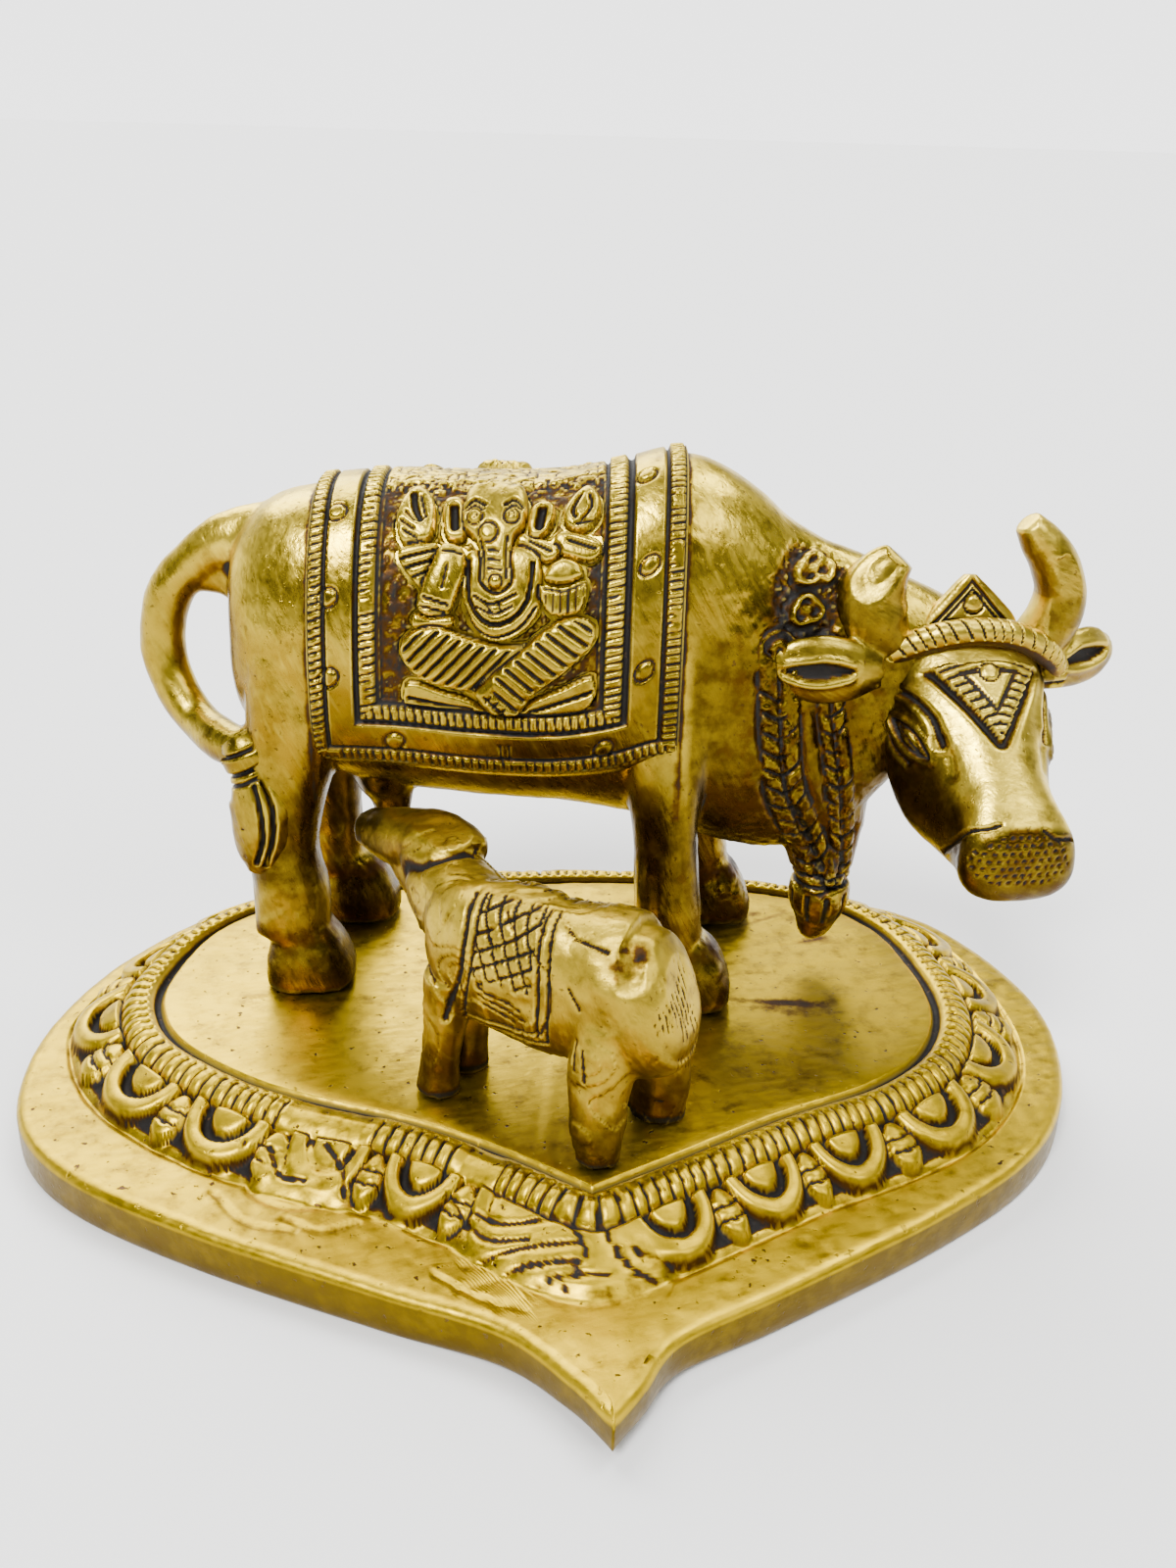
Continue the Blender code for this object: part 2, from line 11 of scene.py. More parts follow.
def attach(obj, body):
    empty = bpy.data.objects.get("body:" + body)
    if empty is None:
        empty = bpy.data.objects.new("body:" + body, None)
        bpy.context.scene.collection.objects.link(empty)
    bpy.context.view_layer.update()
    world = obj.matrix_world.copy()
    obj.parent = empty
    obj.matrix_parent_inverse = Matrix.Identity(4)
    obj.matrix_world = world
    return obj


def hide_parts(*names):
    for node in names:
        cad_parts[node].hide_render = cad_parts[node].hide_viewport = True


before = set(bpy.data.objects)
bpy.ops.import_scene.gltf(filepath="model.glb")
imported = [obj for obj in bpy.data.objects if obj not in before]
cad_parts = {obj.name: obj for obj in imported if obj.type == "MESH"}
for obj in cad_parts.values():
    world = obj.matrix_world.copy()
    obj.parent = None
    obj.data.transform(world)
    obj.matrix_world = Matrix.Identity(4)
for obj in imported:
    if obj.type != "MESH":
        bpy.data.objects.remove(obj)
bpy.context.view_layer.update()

mm = 0.001
lift = 0.6          # mm from the underside up to the level that the heights are counted from


# Camera, light and floor

view = {"place": (-13.61, -149.82, 111.71), "yaw": 6.0, "pitch": 24.0, "roll": 1.7, "lens": 33.75}


def placeCamera():
    yaw, pitch, roll = (radians(view[k]) for k in ("yaw", "pitch", "roll"))
    ahead = Vector((sin(yaw) * cos(pitch), cos(yaw) * cos(pitch), -sin(pitch)))
    right = Vector((cos(yaw), -sin(yaw), 0))
    up = right.cross(ahead)
    across = right * cos(roll) + up * sin(roll)
    upward = up * cos(roll) - right * sin(roll)
    turned = Matrix((across, upward, -ahead)).transposed().to_4x4()
    camera = bpy.data.objects.new("camera", bpy.data.cameras.new("camera"))
    camera.data.lens = view["lens"]
    camera.data.clip_start = 0.005
    camera.matrix_world = Matrix.Translation(Vector(view["place"]) * mm) @ turned
    bpy.context.scene.collection.objects.link(camera)
    bpy.context.scene.camera = camera


# name: azimuth and elevation that the light comes from, strength, width in degrees
lamps = {
    "backLight": (108, 46, 4.8, 50),
    "keyLight": (238, 50, 4.4, 20),
    "shoulderLight": (-48, 44, 1.1, 26),
    "topLight": (20, 62, 1.6, 28),
}

# walls: (height from the horizon, brightness); they meet between the two values of y in "seam"
room = {
    "near": ((0.0, 0.12), (0.12, 0.07), (0.5, 0.02), (0.9, 0.05)),
    "far": ((0.0, 1.0), (0.08, 0.97), (0.14, 0.65), (0.34, 0.27), (0.6, 0.04), (0.9, 0.05)),
    "seam": (-0.25, 0.35), "strength": 3.1,
    "floorHalf": 30.0, "floorTone": (0.92, 0.92, 0.91, 1), "floorRoughness": 0.85,
}


def placeLights():
    for name, (azimuth, elevation, strength, width) in lamps.items():
        light = bpy.data.lights.new(name, "SUN")
        light.energy = strength
        light.angle = radians(width)
        obj = bpy.data.objects.new(name, light)
        a, e = radians(azimuth), radians(elevation)
        source = Vector((cos(a) * cos(e), sin(a) * cos(e), sin(e)))
        obj.rotation_euler = source.to_track_quat("Z", "Y").to_euler()
        obj.location = source
        bpy.context.scene.collection.objects.link(obj)
    world = bpy.data.worlds.new("studio")
    bpy.context.scene.world = world
    world.use_nodes = True
    nodes, links = world.node_tree.nodes, world.node_tree.links
    # a bright backdrop beyond the work, a dim room on the side it is seen from
    coords = nodes.new("ShaderNodeTexCoord")
    split = nodes.new("ShaderNodeSeparateXYZ")
    links.new(coords.outputs["Generated"], split.inputs["Vector"])

    def wall(levels):
        ramp = nodes.new("ShaderNodeValToRGB")
        ramp.color_ramp.elements.remove(ramp.color_ramp.elements[1])
        for k, (position, level) in enumerate(levels):
            stops = ramp.color_ramp.elements
            stop = stops[0] if k == 0 else stops.new(position)
            stop.position, stop.color = position, (level, level, level, 1)
        links.new(split.outputs["Z"], ramp.inputs["Fac"])
        return ramp.outputs["Color"]

    side = nodes.new("ShaderNodeMapRange")
    side.inputs["From Min"].default_value, side.inputs["From Max"].default_value = room["seam"]
    links.new(split.outputs["Y"], side.inputs["Value"])
    mix = nodes.new("ShaderNodeMix")
    mix.data_type = "RGBA"
    links.new(side.outputs["Result"], mix.inputs["Factor"])
    links.new(wall(room["near"]), mix.inputs[6])
    links.new(wall(room["far"]), mix.inputs[7])
    links.new(mix.outputs[2], nodes["Background"].inputs["Color"])
    nodes["Background"].inputs["Strength"].default_value = room["strength"]


def placeFloor():
    bm = bmesh.new()
    bmesh.ops.create_grid(bm, x_segments=8, y_segments=8, size=room["floorHalf"])
    mesh = bpy.data.meshes.new("floor")
    bm.to_mesh(mesh)
    bm.free()
    floor = bpy.data.objects.new("floor", mesh)
    bpy.context.scene.collection.objects.link(floor)
    paper = bpy.data.materials.new("palePaper")
    paper.use_nodes = True
    shader = paper.node_tree.nodes["Principled BSDF"]
    shader.inputs["Base Color"].default_value = room["floorTone"]
    shader.inputs["Roughness"].default_value = room["floorRoughness"]
    mesh.materials.append(paper)


placeCamera()
placeLights()
placeFloor()
print("stage: camera, lights and floor are set")


# Shared modelling helpers; everything is shaped in millimetres and scaled at the end

latticeSize = 32
lattice = np.random.default_rng(11).random((latticeSize,) * 3) * 2 - 1


def grain(points, size):
    # smooth random field from -1 to 1, with lumps of about the given size
    q = points / size
    cell = np.floor(q).astype(int)
    f = q - cell
    f = f * f * (3 - 2 * f)
    total = np.zeros(len(points))
    for corner in product((0, 1), repeat=3):
        weight = np.prod(np.where(corner, f, 1 - f), axis=1)
        i, j, k = ((cell + corner) % latticeSize).T
        total += weight * lattice[i, j, k]
    return total


def ease(a, b, x):
    t = np.clip((x - a) / (b - a), 0, 1)
    return t * t * (3 - 2 * t)


def curve(points, t):
    # smooth curve through the points, read at t from 0 to 1
    p = np.array(points, float)
    p = np.vstack([2 * p[0] - p[1], p, 2 * p[-1] - p[-2]])
    at = np.clip(t, 0, 1) * (len(p) - 3)
    i = np.minimum(at.astype(int), len(p) - 4)
    f = (at - i)[:, None]
    a, b, c, d = p[i], p[i + 1], p[i + 2], p[i + 3]
    return 0.5 * (2 * b + (c - a) * f + (2 * a - 5 * b + 4 * c - d) * f ** 2
                  + (3 * b - a - 3 * c + d) * f ** 3)


farAway = 99.0      # mm, for points that a line doesn't reach


def trail(x, y, points, reach=4.0, steps=0):
    # distance from a line through the points, and how far along it
    if steps:
        points = curve(points, np.linspace(0, 1, steps))
    points = np.array(points, float)
    near, run = np.full(len(x), farAway), np.zeros(len(x))
    low, high = points.min(0) - reach, points.max(0) + reach
    pick = np.flatnonzero((x > low[0]) & (x < high[0]) & (y > low[1]) & (y < high[1]))
    if not len(pick):
        return near, run
    px, py = x[pick], y[pick]
    best, at, start = np.full(len(pick), farAway), np.zeros(len(pick)), 0.0
    for (ax, ay), (bx, by) in zip(points, points[1:]):
        dx, dy = bx - ax, by - ay
        length = max(np.hypot(dx, dy), 1e-6)
        t = np.clip(((px - ax) * dx + (py - ay) * dy) / length ** 2, 0, 1)
        d = np.hypot(px - ax - t * dx, py - ay - t * dy)
        closer = d < best
        best = np.where(closer, d, best)
        at = np.where(closer, start + t * length, at)
        start += length
    near[pick], run[pick] = best, at
    return near, run


def outline(x, y, points, smooth=True):
    # signed distance from a closed outline, less than 0 inside
    loop = np.array(points + points[:1], float)
    if smooth:
        wrapped = np.array(points[-1:] + points + points[:2], float)
        count = len(wrapped) - 1
        t = np.linspace(1, count - 1, 6 * len(points) + 1) / count
        loop = curve(wrapped, t)
    near, _ = trail(x, y, loop, reach=3.0)
    pick = np.flatnonzero(near < farAway)
    inside = np.zeros(len(x), bool)
    px, py = x[pick], y[pick]
    hit = np.zeros(len(pick), bool)
    for (ax, ay), (bx, by) in zip(loop, loop[1:]):
        crosses = (ay > py) != (by > py)
        slope = (bx - ax) / (by - ay if abs(by - ay) > 1e-9 else 1e-9)
        hit ^= crosses & (px < ax + slope * (py - ay))
    inside[pick] = hit
    return np.where(inside, -near, near)


def cut(height, d, width, depth):
    # engraved line
    return height - depth * ease(width * 0.5, width * 0.12, d)


def raised(height, d, top, dome=0.8, ditch=0.3):
    # lay a domed form over what is there, with a ditch round it
    swell = np.sqrt(np.clip(1 - (1 - np.clip(-d / dome, 0, 1)) ** 2, 0, 1))
    form = top * (0.45 + 0.55 * swell)
    outer = height - ditch * np.exp(-(np.clip(d, 0, 9) / 0.3) ** 2)
    return np.where(d < 0, form, outer)


def stud(height, x, y, centre, radius, top=0.3):
    # round-headed stud inside an engraved ring
    d = np.hypot(x - centre[0], y - centre[1])
    height = height - 0.32 * np.exp(-((d - radius) / 0.19) ** 2)
    return height + np.where(d < radius, top * np.sqrt(np.clip(1 - (d / radius) ** 2, 0, 1)), 0)


def pointsOf(mesh):
    flat = np.empty(len(mesh.vertices) * 3, np.float32)
    mesh.vertices.foreach_get("co", flat)
    return flat.reshape(-1, 3).astype(float)


def normalsOf(mesh):
    flat = np.empty(len(mesh.vertices) * 3, np.float32)
    mesh.vertex_normals.foreach_get("vector", flat)
    return flat.reshape(-1, 3).astype(float)


def setPoints(mesh, points):
    mesh.vertices.foreach_set("co", np.ascontiguousarray(points, np.float32).ravel())
    mesh.update()


def newObject(name, bm):
    bmesh.ops.recalc_face_normals(bm, faces=bm.faces)
    mesh = bpy.data.meshes.new(name)
    bm.to_mesh(mesh)
    bm.free()
    obj = bpy.data.objects.new(name, mesh)
    bpy.context.scene.collection.objects.link(obj)
    return obj


def tube(bm, stations, side, sides=28, rows=36, square=2.0, egg=0.0, aim=None, place=Matrix()):
    # closed skin over rings (x, y, z, half width, half height) that follow a smooth path
    made = bmesh.ops.create_grid(bm, x_segments=sides, y_segments=rows, size=0.5)["verts"]
    turn, along = np.array([v.co[:2] for v in made]).T + 0.5
    line = curve(stations, along)
    if aim is None:
        ahead = (curve(stations, along + 0.004) - curve(stations, along - 0.004))[:, :3]
    else:
        ahead = np.tile(np.array(aim, float), (len(made), 1))
    ahead /= np.linalg.norm(ahead, axis=1)[:, None]
    side = np.array(side, float)
    across = side - ahead * (ahead @ side)[:, None]
    across /= np.linalg.norm(across, axis=1)[:, None]
    up = np.cross(ahead, across)
    c, s = np.cos(2 * pi * turn), np.sin(2 * pi * turn)
    c = np.sign(c) * np.abs(c) ** (2 / square)
    s = np.sign(s) * np.abs(s) ** (2 / square)
    points = (line[:, :3] + across * (line[:, 3] * c * (1 - egg * s))[:, None]
              + up * (line[:, 4] * s)[:, None])
    for v, p in zip(made, points):
        v.co = place @ Vector(p)
    bmesh.ops.remove_doubles(bm, verts=made, dist=0.002)
    bmesh.ops.holes_fill(bm, edges=[e for e in bm.edges if e.is_boundary], sides=0)


def ball(bm, centre, radii, place=Matrix()):
    shape = place @ Matrix.Translation(centre) @ Matrix.Diagonal((*radii, 1))
    bmesh.ops.create_icosphere(bm, subdivisions=3, radius=1, matrix=shape)


def fused(name, bm, voxel, rounds):
    # all the shells of bm as one skin
    obj = newObject(name, bm)
    remesh = obj.modifiers.new("skin", "REMESH")
    remesh.mode = "VOXEL"
    remesh.voxel_size = voxel
    even = obj.modifiers.new("even", "SMOOTH")
    even.factor = 0.5
    even.iterations = rounds
    depsgraph = bpy.context.evaluated_depsgraph_get()
    obj.data = bpy.data.meshes.new_from_object(obj.evaluated_get(depsgraph))
    obj.modifiers.clear()
    return obj


def sheet(name, columns, rows, place):
    # a fine grid whose points go where place(u, t) says, welded where its edges meet
    bm = bmesh.new()
    bmesh.ops.create_grid(bm, x_segments=columns, y_segments=rows, size=0.5)
    obj = newObject(name, bm)
    u, t = (pointsOf(obj.data)[:, :2] + 0.5).T
    setPoints(obj.data, place(u, t))
    bm = bmesh.new()
    bm.from_mesh(obj.data)
    bmesh.ops.remove_doubles(bm, verts=bm.verts, dist=0.002)
    bmesh.ops.recalc_face_normals(bm, faces=bm.faces)
    bm.to_mesh(obj.data)
    bm.free()
    return obj


def refined(obj, wanted):
    # halve the faces whose corners wanted(points) picks
    bm = bmesh.new()
    bm.from_mesh(obj.data)
    pick = wanted(pointsOf(obj.data))
    bm.verts.ensure_lookup_table()
    edges = [e for e in bm.edges if pick[e.verts[0].index] and pick[e.verts[1].index]]
    bmesh.ops.subdivide_edges(bm, edges=edges, cuts=1, use_grid_fill=True)
    bm.to_mesh(obj.data)
    bm.free()


def blurred(mesh, values, rounds):
    edges = np.empty(len(mesh.edges) * 2, np.int32)
    mesh.edges.foreach_get("vertices", edges)
    a, b = edges.reshape(-1, 2).T
    count = np.bincount(a, minlength=len(values)) + np.bincount(b, minlength=len(values))
    count = np.maximum(count, 1)
    columns = values.reshape(len(values), -1).T
    done = []
    for column in columns:
        for _ in range(rounds):
            total = (np.bincount(a, column[b], len(values)) + np.bincount(b, column[a], len(values)))
            column = 0.5 * column + 0.5 * total / count
        done.append(column)
    return np.column_stack(done)


def store(mesh, name, values):
    attribute = mesh.attributes.new(name, "FLOAT", "POINT")
    attribute.data.foreach_set("value", np.clip(values, 0, 1).astype(np.float32))


def weathered(obj, dark, fineRounds, wideRounds, fine=0.10, wide=0.55, filmAndShade=0.0):
    # dirt in the hollows and bright wear on the edges, from how each point lies in its surroundings; the
    # dark marks passed in join the hollows' dirt and carry painted shade from some pieces
    mesh = obj.data
    points, normals = pointsOf(mesh), normalsOf(mesh)
    near = ((blurred(mesh, points, fineRounds) - points) * normals).sum(1)
    far = ((blurred(mesh, points, wideRounds) - points) * normals).sum(1)
    lumps = grain(points, 2.3) * 0.25 + grain(points, 0.7) * 0.2
    hollow = ease(0.15, 1.0, near / fine) + ease(0.2, 1.0, far / wide)
    store(mesh, "patinaAndShade", hollow * (1 + lumps) + dark)
    store(mesh, "wear", ease(0.1, 1.0, -near / fine) + 0.5 * ease(0.2, 1.0, -far / wide))
    store(mesh, "filmAndShade", filmAndShade + np.zeros(len(points)))
    # painted top light: upward faces are coloured bright brass and downward ones darker amber, by which way
    # they face, with some random spread
    store(mesh, "paintedTopLight", ease(-0.45, 0.85, normals[:, 2] + 0.25 * grain(points, 5.0)))


def finished(obj, replaced, brass):
    obj.data.transform(Matrix.Scale(mm, 4) @ Matrix.Translation((0, 0, lift)))
    obj.data.shade_smooth()
    obj.data.materials.clear()
    obj.data.materials.append(brass)
    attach(obj, "root")
    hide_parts(replaced)
    print("stage:", obj.name, len(obj.data.polygons), "faces")


# Brass: one recipe, three castings

brassTones = {"dirtAndShade": (0.080, 0.032, 0.003), "black": (0.004, 0.002, 0.001), "pit": (0.06, 0.03, 0.01)}


def brassOf(name, clean, amber, scratchTurn, scratchDepth=0.6, tarnish=0.5, pits=0.6, pitScale=1400,
            scratchLength=0.05, satin=0.0):
    material = bpy.data.materials.new(name)
    material.use_nodes = True
    tree = material.node_tree
    nodes, links = tree.nodes, tree.links
    shader = nodes["Principled BSDF"]
    shader.inputs["Metallic"].default_value = 1.0
    shader.inputs["Specular IOR Level"].default_value = 0.5
    coords = nodes.new("ShaderNodeTexCoord")

    def noiseAt(scale, detail, stretch=(1, 1, 1), turn=(0, 0, 0), roughness=0.5):
        # a mapping of this kind turns first and scales after, so the streaks follow the turn
        mapping = nodes.new("ShaderNodeMapping")
        mapping.vector_type = "TEXTURE"
        mapping.inputs["Scale"].default_value = [1 / k for k in stretch]
        mapping.inputs["Rotation"].default_value = [radians(a) for a in turn]
        texture = nodes.new("ShaderNodeTexNoise")
        texture.inputs["Scale"].default_value = scale
        texture.inputs["Detail"].default_value = detail
        texture.inputs["Roughness"].default_value = roughness
        links.new(coords.outputs["Object"], mapping.inputs["Vector"])
        links.new(mapping.outputs["Vector"], texture.inputs["Vector"])
        return texture.outputs["Fac"]

    def spread(value, low, high, toLow=0.0, toHigh=1.0):
        node = nodes.new("ShaderNodeMapRange")
        node.inputs["From Min"].default_value = low
        node.inputs["From Max"].default_value = high
        node.inputs["To Min"].default_value = toLow
        node.inputs["To Max"].default_value = toHigh
        links.new(value, node.inputs["Value"])
        return node.outputs["Result"]

    def sum2(a, b, how="ADD"):
        node = nodes.new("ShaderNodeMath")
        node.operation = how
        for socket, value in zip(node.inputs, (a, b)):
            if isinstance(value, float):
                socket.default_value = value
            else:
                links.new(value, socket)
        return node.outputs[0]

    def blend(share, a, b):
        node = nodes.new("ShaderNodeMix")
        node.data_type = "RGBA"
        links.new(share, node.inputs["Factor"])
        for socket, value in ((node.inputs[6], a), (node.inputs[7], b)):
            if isinstance(value, tuple):
                socket.default_value = (*value, 1)
            else:
                links.new(value, socket)
        return node.outputs[2]

    def attribute(key):
        node = nodes.new("ShaderNodeAttribute")
        node.attribute_name = key
        return node.outputs["Fac"]

    patinaAndShade, wear, paintedTopLight, filmAndShade = (attribute(key) for key in ("patinaAndShade", "wear", "paintedTopLight", "filmAndShade"))
    broad = noiseAt(60, 3)
    mottled = noiseAt(420, 4, roughness=0.62)
    fineScratch = noiseAt(1300, 3, stretch=(scratchLength, 1, 1), turn=scratchTurn)
    askew = [a + 14 for a in scratchTurn]
    longScratch = noiseAt(2600, 2, stretch=(0.5 * scratchLength, 1, 1), turn=askew)
    speck = noiseAt(pitScale, 3)

    old, brown = (tuple(share * c for c in amber) for share in (0.5, 0.20))
    # painted top light: the tone runs from amber to clean brass as the faces turn upward
    tone = blend(spread(sum2(paintedTopLight, spread(broad, 0.3, 0.7, -0.2, 0.2)), 0.1, 0.9), amber, clean)
    tone = blend(spread(mottled, 0.48, 0.76, 0.0, tarnish), tone, old)
    tone = blend(spread(fineScratch, 0.50, 0.74, 0.0, 0.40), tone, clean)
    # brown film, which the pieces also use as painted shade on faces turned from the light, thinned out
    # where a painted highlight is wanted
    shadedFilm = sum2(filmAndShade, spread(mottled, 0.35, 0.7, 0.85, 1.1), "MULTIPLY")
    tone = blend(spread(shadedFilm, 0.0, 1.0), tone, brown)
    # patina in the hollows together with the painted shade that the pieces pass in as dark marks
    grimeAndShade = sum2(patinaAndShade, spread(mottled, 0.35, 0.7, -0.16, 0.22))
    tone = blend(spread(grimeAndShade, 0.12, 0.55), tone, brassTones["dirtAndShade"])
    tone = blend(spread(grimeAndShade, 0.45, 0.90), tone, brassTones["black"])
    pit = spread(speck, 0.665, 0.72, 0.0, pits)
    tone = blend(pit, tone, brassTones["pit"])
    worn = sum2(spread(wear, 0.15, 0.9, 0.0, 0.65), spread(filmAndShade, 0.0, 1.0, 1.0, 0.12), "MULTIPLY")
    tone = blend(worn, tone, clean)
    links.new(tone, shader.inputs["Base Color"])

    rough = sum2(spread(fineScratch, 0.35, 0.75, 0.24, 0.36), spread(grimeAndShade, 0.25, 0.9, 0.0, 0.35))
    rough = sum2(rough, spread(broad, 0.35, 0.65, satin - 0.03, satin + 0.05))
    links.new(rough, shader.inputs["Roughness"])
    links.new(spread(grimeAndShade, 0.5, 0.95, 1.0, 0.35), shader.inputs["Metallic"])

    relief = sum2(sum2(fineScratch, scratchDepth, "MULTIPLY"),
                  sum2(longScratch, 0.5 * scratchDepth, "MULTIPLY"))
    relief = sum2(relief, sum2(mottled, 0.35, "MULTIPLY"))
    relief = sum2(relief, sum2(pit, -0.5, "MULTIPLY"))
    bump = nodes.new("ShaderNodeBump")
    bump.inputs["Strength"].default_value = 0.5
    bump.inputs["Distance"].default_value = 0.00020
    links.new(relief, bump.inputs["Height"])
    links.new(bump.outputs["Normal"], shader.inputs["Normal"])
    return material


cowBrass = brassOf("cowBrass", (0.84, 0.61, 0.045), (0.28, 0.155, 0.003), (0, 62, 8))
headBrass = brassOf("headBrass", (0.84, 0.62, 0.06), (0.26, 0.145, 0.004), (0, 25, 20), satin=0.04)
baseBrass = brassOf("baseBrass", (0.72, 0.49, 0.0), (0.34, 0.19, 0.0), (0, 0, 10), tarnish=0.65,
                    pits=1.0, pitScale=1000, scratchLength=0.3, satin=0.09, scratchDepth=0.22)
calfBrass = brassOf("calfBrass", (0.82, 0.58, 0.04), (0.27, 0.15, 0.003), (0, 40, 30),
                    scratchLength=0.12, satin=0.12)


# Base: pipal leaf with a rope band and a band of lotus petals

leafPlan = {
    "rim": [(0.6, -53.4), (4.1, -49.2), (8.4, -43.7), (19.5, -38.1), (39.1, -27.8), (52.9, -18.2),
            (60.8, -7.5), (65, 6.5), (64.4, 19), (58.6, 33.6), (47.7, 42.8), (31, 50), (0, 54.2),
            (-31, 50.6), (-46.3, 44), (-58.1, 30.4), (-64.2, 15.5), (-65.2, 3), (-62.6, -7.4),
            (-55, -16.4), (-40.4, -25.8), (-21.5, -35.4), (-9.5, -41.3), (-3.2, -47.8)],
    "groove": [(1, -27.2), (9.3, -23.1), (22.7, -16.2), (35.6, -10.6), (43.5, -4.4), (48, 4.5),
               (48.4, 15), (45.8, 26.5), (38, 35), (20, 40.6), (0, 42), (-20, 41), (-36, 37.6),
               (-45.5, 29.5), (-49.9, 17), (-49.2, 8.5), (-44.6, 1), (-33.8, -7.4), (-19.1, -13.9),
               (-9.8, -19.2)],
    "columns": 1150, "bandWidth": 11.5, "petals": 22, "petalPitch": 14.4, "bars": 176,
    "fieldZ": 9.5, "rimZ": 5.0, "tipLift": 1.6, "undersideZ": -0.6,
    # where the petals were filed or cast flat: centre, radius, how much of the relief is gone
    "filed": [(-5.0, -32.5, 9.5, 0.97), (-30.5, -20.8, 6.6, 0.88), (-21.5, -27.0, 3.0, 0.5),
              (4.5, -34.5, 4.0, 0.8)],
    # where the bars of the rope were filed smooth: centre, radius
    "rubbed": [(-27.5, -13.9, 6.0), (-10.5, -22.6, 3.0)],
    # lines left by the file, and what is left of the petals' edges there
    "strokes": [[(-36.5, -15.0), (-35.6, -19.5), (-32.0, -22.4), (-27.8, -22.8)],
                [(-33.6, -15.6), (-32.4, -18.6), (-29.6, -20.0)],
                [(-27.4, -16.4), (-25.6, -19.2), (-25.2, -22.2)],
                [(-39.5, -19.5), (-35.4, -24.6), (-30.0, -26.2)],
                [(-31.5, -24.2), (-27.5, -26.4), (-23.5, -25.4)],
                [(-14.2, -25.0), (-10.6, -30.2), (-6.0, -31.6)],
                [(-11.6, -27.4), (-8.0, -29.4), (-3.0, -29.8)],
                [(-12.6, -32.8), (-6.8, -32.4), (-0.6, -33.0)],
                [(-13.4, -36.0), (-7.0, -34.4), (-1.2, -34.8)],
                [(-9.6, -38.6), (-4.0, -36.2), (1.8, -36.4)],
                [(-2.0, -30.4), (-0.4, -34.0), (-3.4, -38.4)],
                [(1.4, -30.8), (3.8, -35.2), (8.2, -37.2)],
                [(-15.6, -33.6), (-11.0, -37.2), (-6.6, -39.0)]],
    # the profile from the field out to the rim: distance from the groove, height
    "profile": [(-0.9, 9.5), (-0.6, 9.42), (-0.25, 8.7), (0.25, 8.65), (0.65, 9.35), (1.4, 9.75),
                (2.5, 9.8), (3.6, 9.35), (4.4, 8.8), (4.9, 8.2), (6.6, 7.5), (8.6, 6.7), (10.4, 5.9),
                (11.5, 5.0)],
    "ropeFrom": 0.5, "petalsFrom": 4.9, "rimRings": 17, "rimRound": 1.1,
    # half width, root and length of a petal
    "petalHalf": 5.9, "petalRoot": 4.7, "petalReach": 6.1,
    # the solid's own reach, which the unevenness may not pass
    "least": (-65.3, -53.399, -5), "most": (80, 54.2, 20),
}


def evenLoop(loop, count):
    t = np.linspace(0, 1, 24 * len(loop) + 1)
    closed = curve(loop + loop[:1], t)[:, :2]
    length = np.concatenate([[0], np.cumsum(np.hypot(*np.diff(closed, axis=0).T))])
    at = np.linspace(0, length[-1], count, endpoint=False)
    return np.column_stack([np.interp(at, length, closed[:, k]) for k in (0, 1)])


def outwardOf(loop, spread):
    # the direction turns gently round the sharp points
    run = np.roll(loop, -1, axis=0) - np.roll(loop, 1, axis=0)
    run /= np.hypot(*run.T)[:, None]
    run = sum(np.roll(run, k, axis=0) for k in range(-spread, spread + 1))
    run /= np.hypot(*run.T)[:, None]
    return np.column_stack([run[:, 1], -run[:, 0]])


def barWave(phase, count):
    # hand-cut bars: the pitch and the lean wander a little
    return phase * count / leafPlan["petals"] + 0.22 * np.sin(phase * 2.3) + 0.12 * np.sin(phase * 7.1)


def ropeRelief(phase, w):
    # row of short bars between two plain edges
    lip = 0.35 * np.sqrt(np.clip(1 - ((w - 1.1) / 0.7) ** 2, 0, 1))
    bead = np.sqrt(np.clip(1 - ((w - 3.0) / 1.55) ** 2, 0, 1))
    strand = (barWave(phase, leafPlan["bars"]) + (0.06 + 0.05 * np.sin(phase * 1.7)) * w) % 1
    notch = ease(0.20, 0.05, np.abs(strand - 0.5))
    height = lip + 0.40 * bead - 0.62 * notch * ease(0.0, 0.35, bead)
    height = cut(height, np.abs(w - 4.75), 0.6, 0.5)
    return height, 0.6 * notch * (bead > 0.1) + 0.3 * ease(0.5, 0.1, np.abs(w - 4.75))


def petalRelief(a, w):
    # a is across the petal, w outward from the rope band
    half = leafPlan["petalPitch"] / 2
    r = np.hypot(a / leafPlan["petalHalf"], (w - leafPlan["petalRoot"]) / leafPlan["petalReach"])
    height = np.full(len(a), -0.85)
    dark = 0.9 * ease(11.4, 10.9, w)
    tip = half - np.abs(a)
    bud = np.hypot(tip / 1.9, (w - 8.5) / np.where(w > 8.5, 2.0, 3.4))
    height = np.where(bud < 1, 0.2 + 0.75 * np.sqrt(np.clip(1 - bud ** 2, 0, 1)), height)
    dark = np.where(bud < 1, 0.0, dark)
    for at in (7.5, 9.0):
        line = (bud < 1) * ease(0.3, 0.08, np.abs(w - at + 0.25 * tip))
        height, dark = height - 0.4 * line, dark + 0.5 * line
    outer = ease(1.06, 0.92, r)
    body = 0.45 + 0.55 * np.sqrt(np.clip(1 - ((r - 0.82) / 0.2) ** 2, 0, 1))
    body = np.where(r < 0.6, 0.35 + 0.6 * np.sqrt(np.clip(1 - (r / 0.44) ** 2, 0, 1)), body)
    line = ease(0.125, 0.06, np.abs(r - 0.53))
    body = body - 0.95 * line
    height = height * (1 - outer) + body * outer
    dark = dark * (1 - outer) + line * outer
    return height, dark


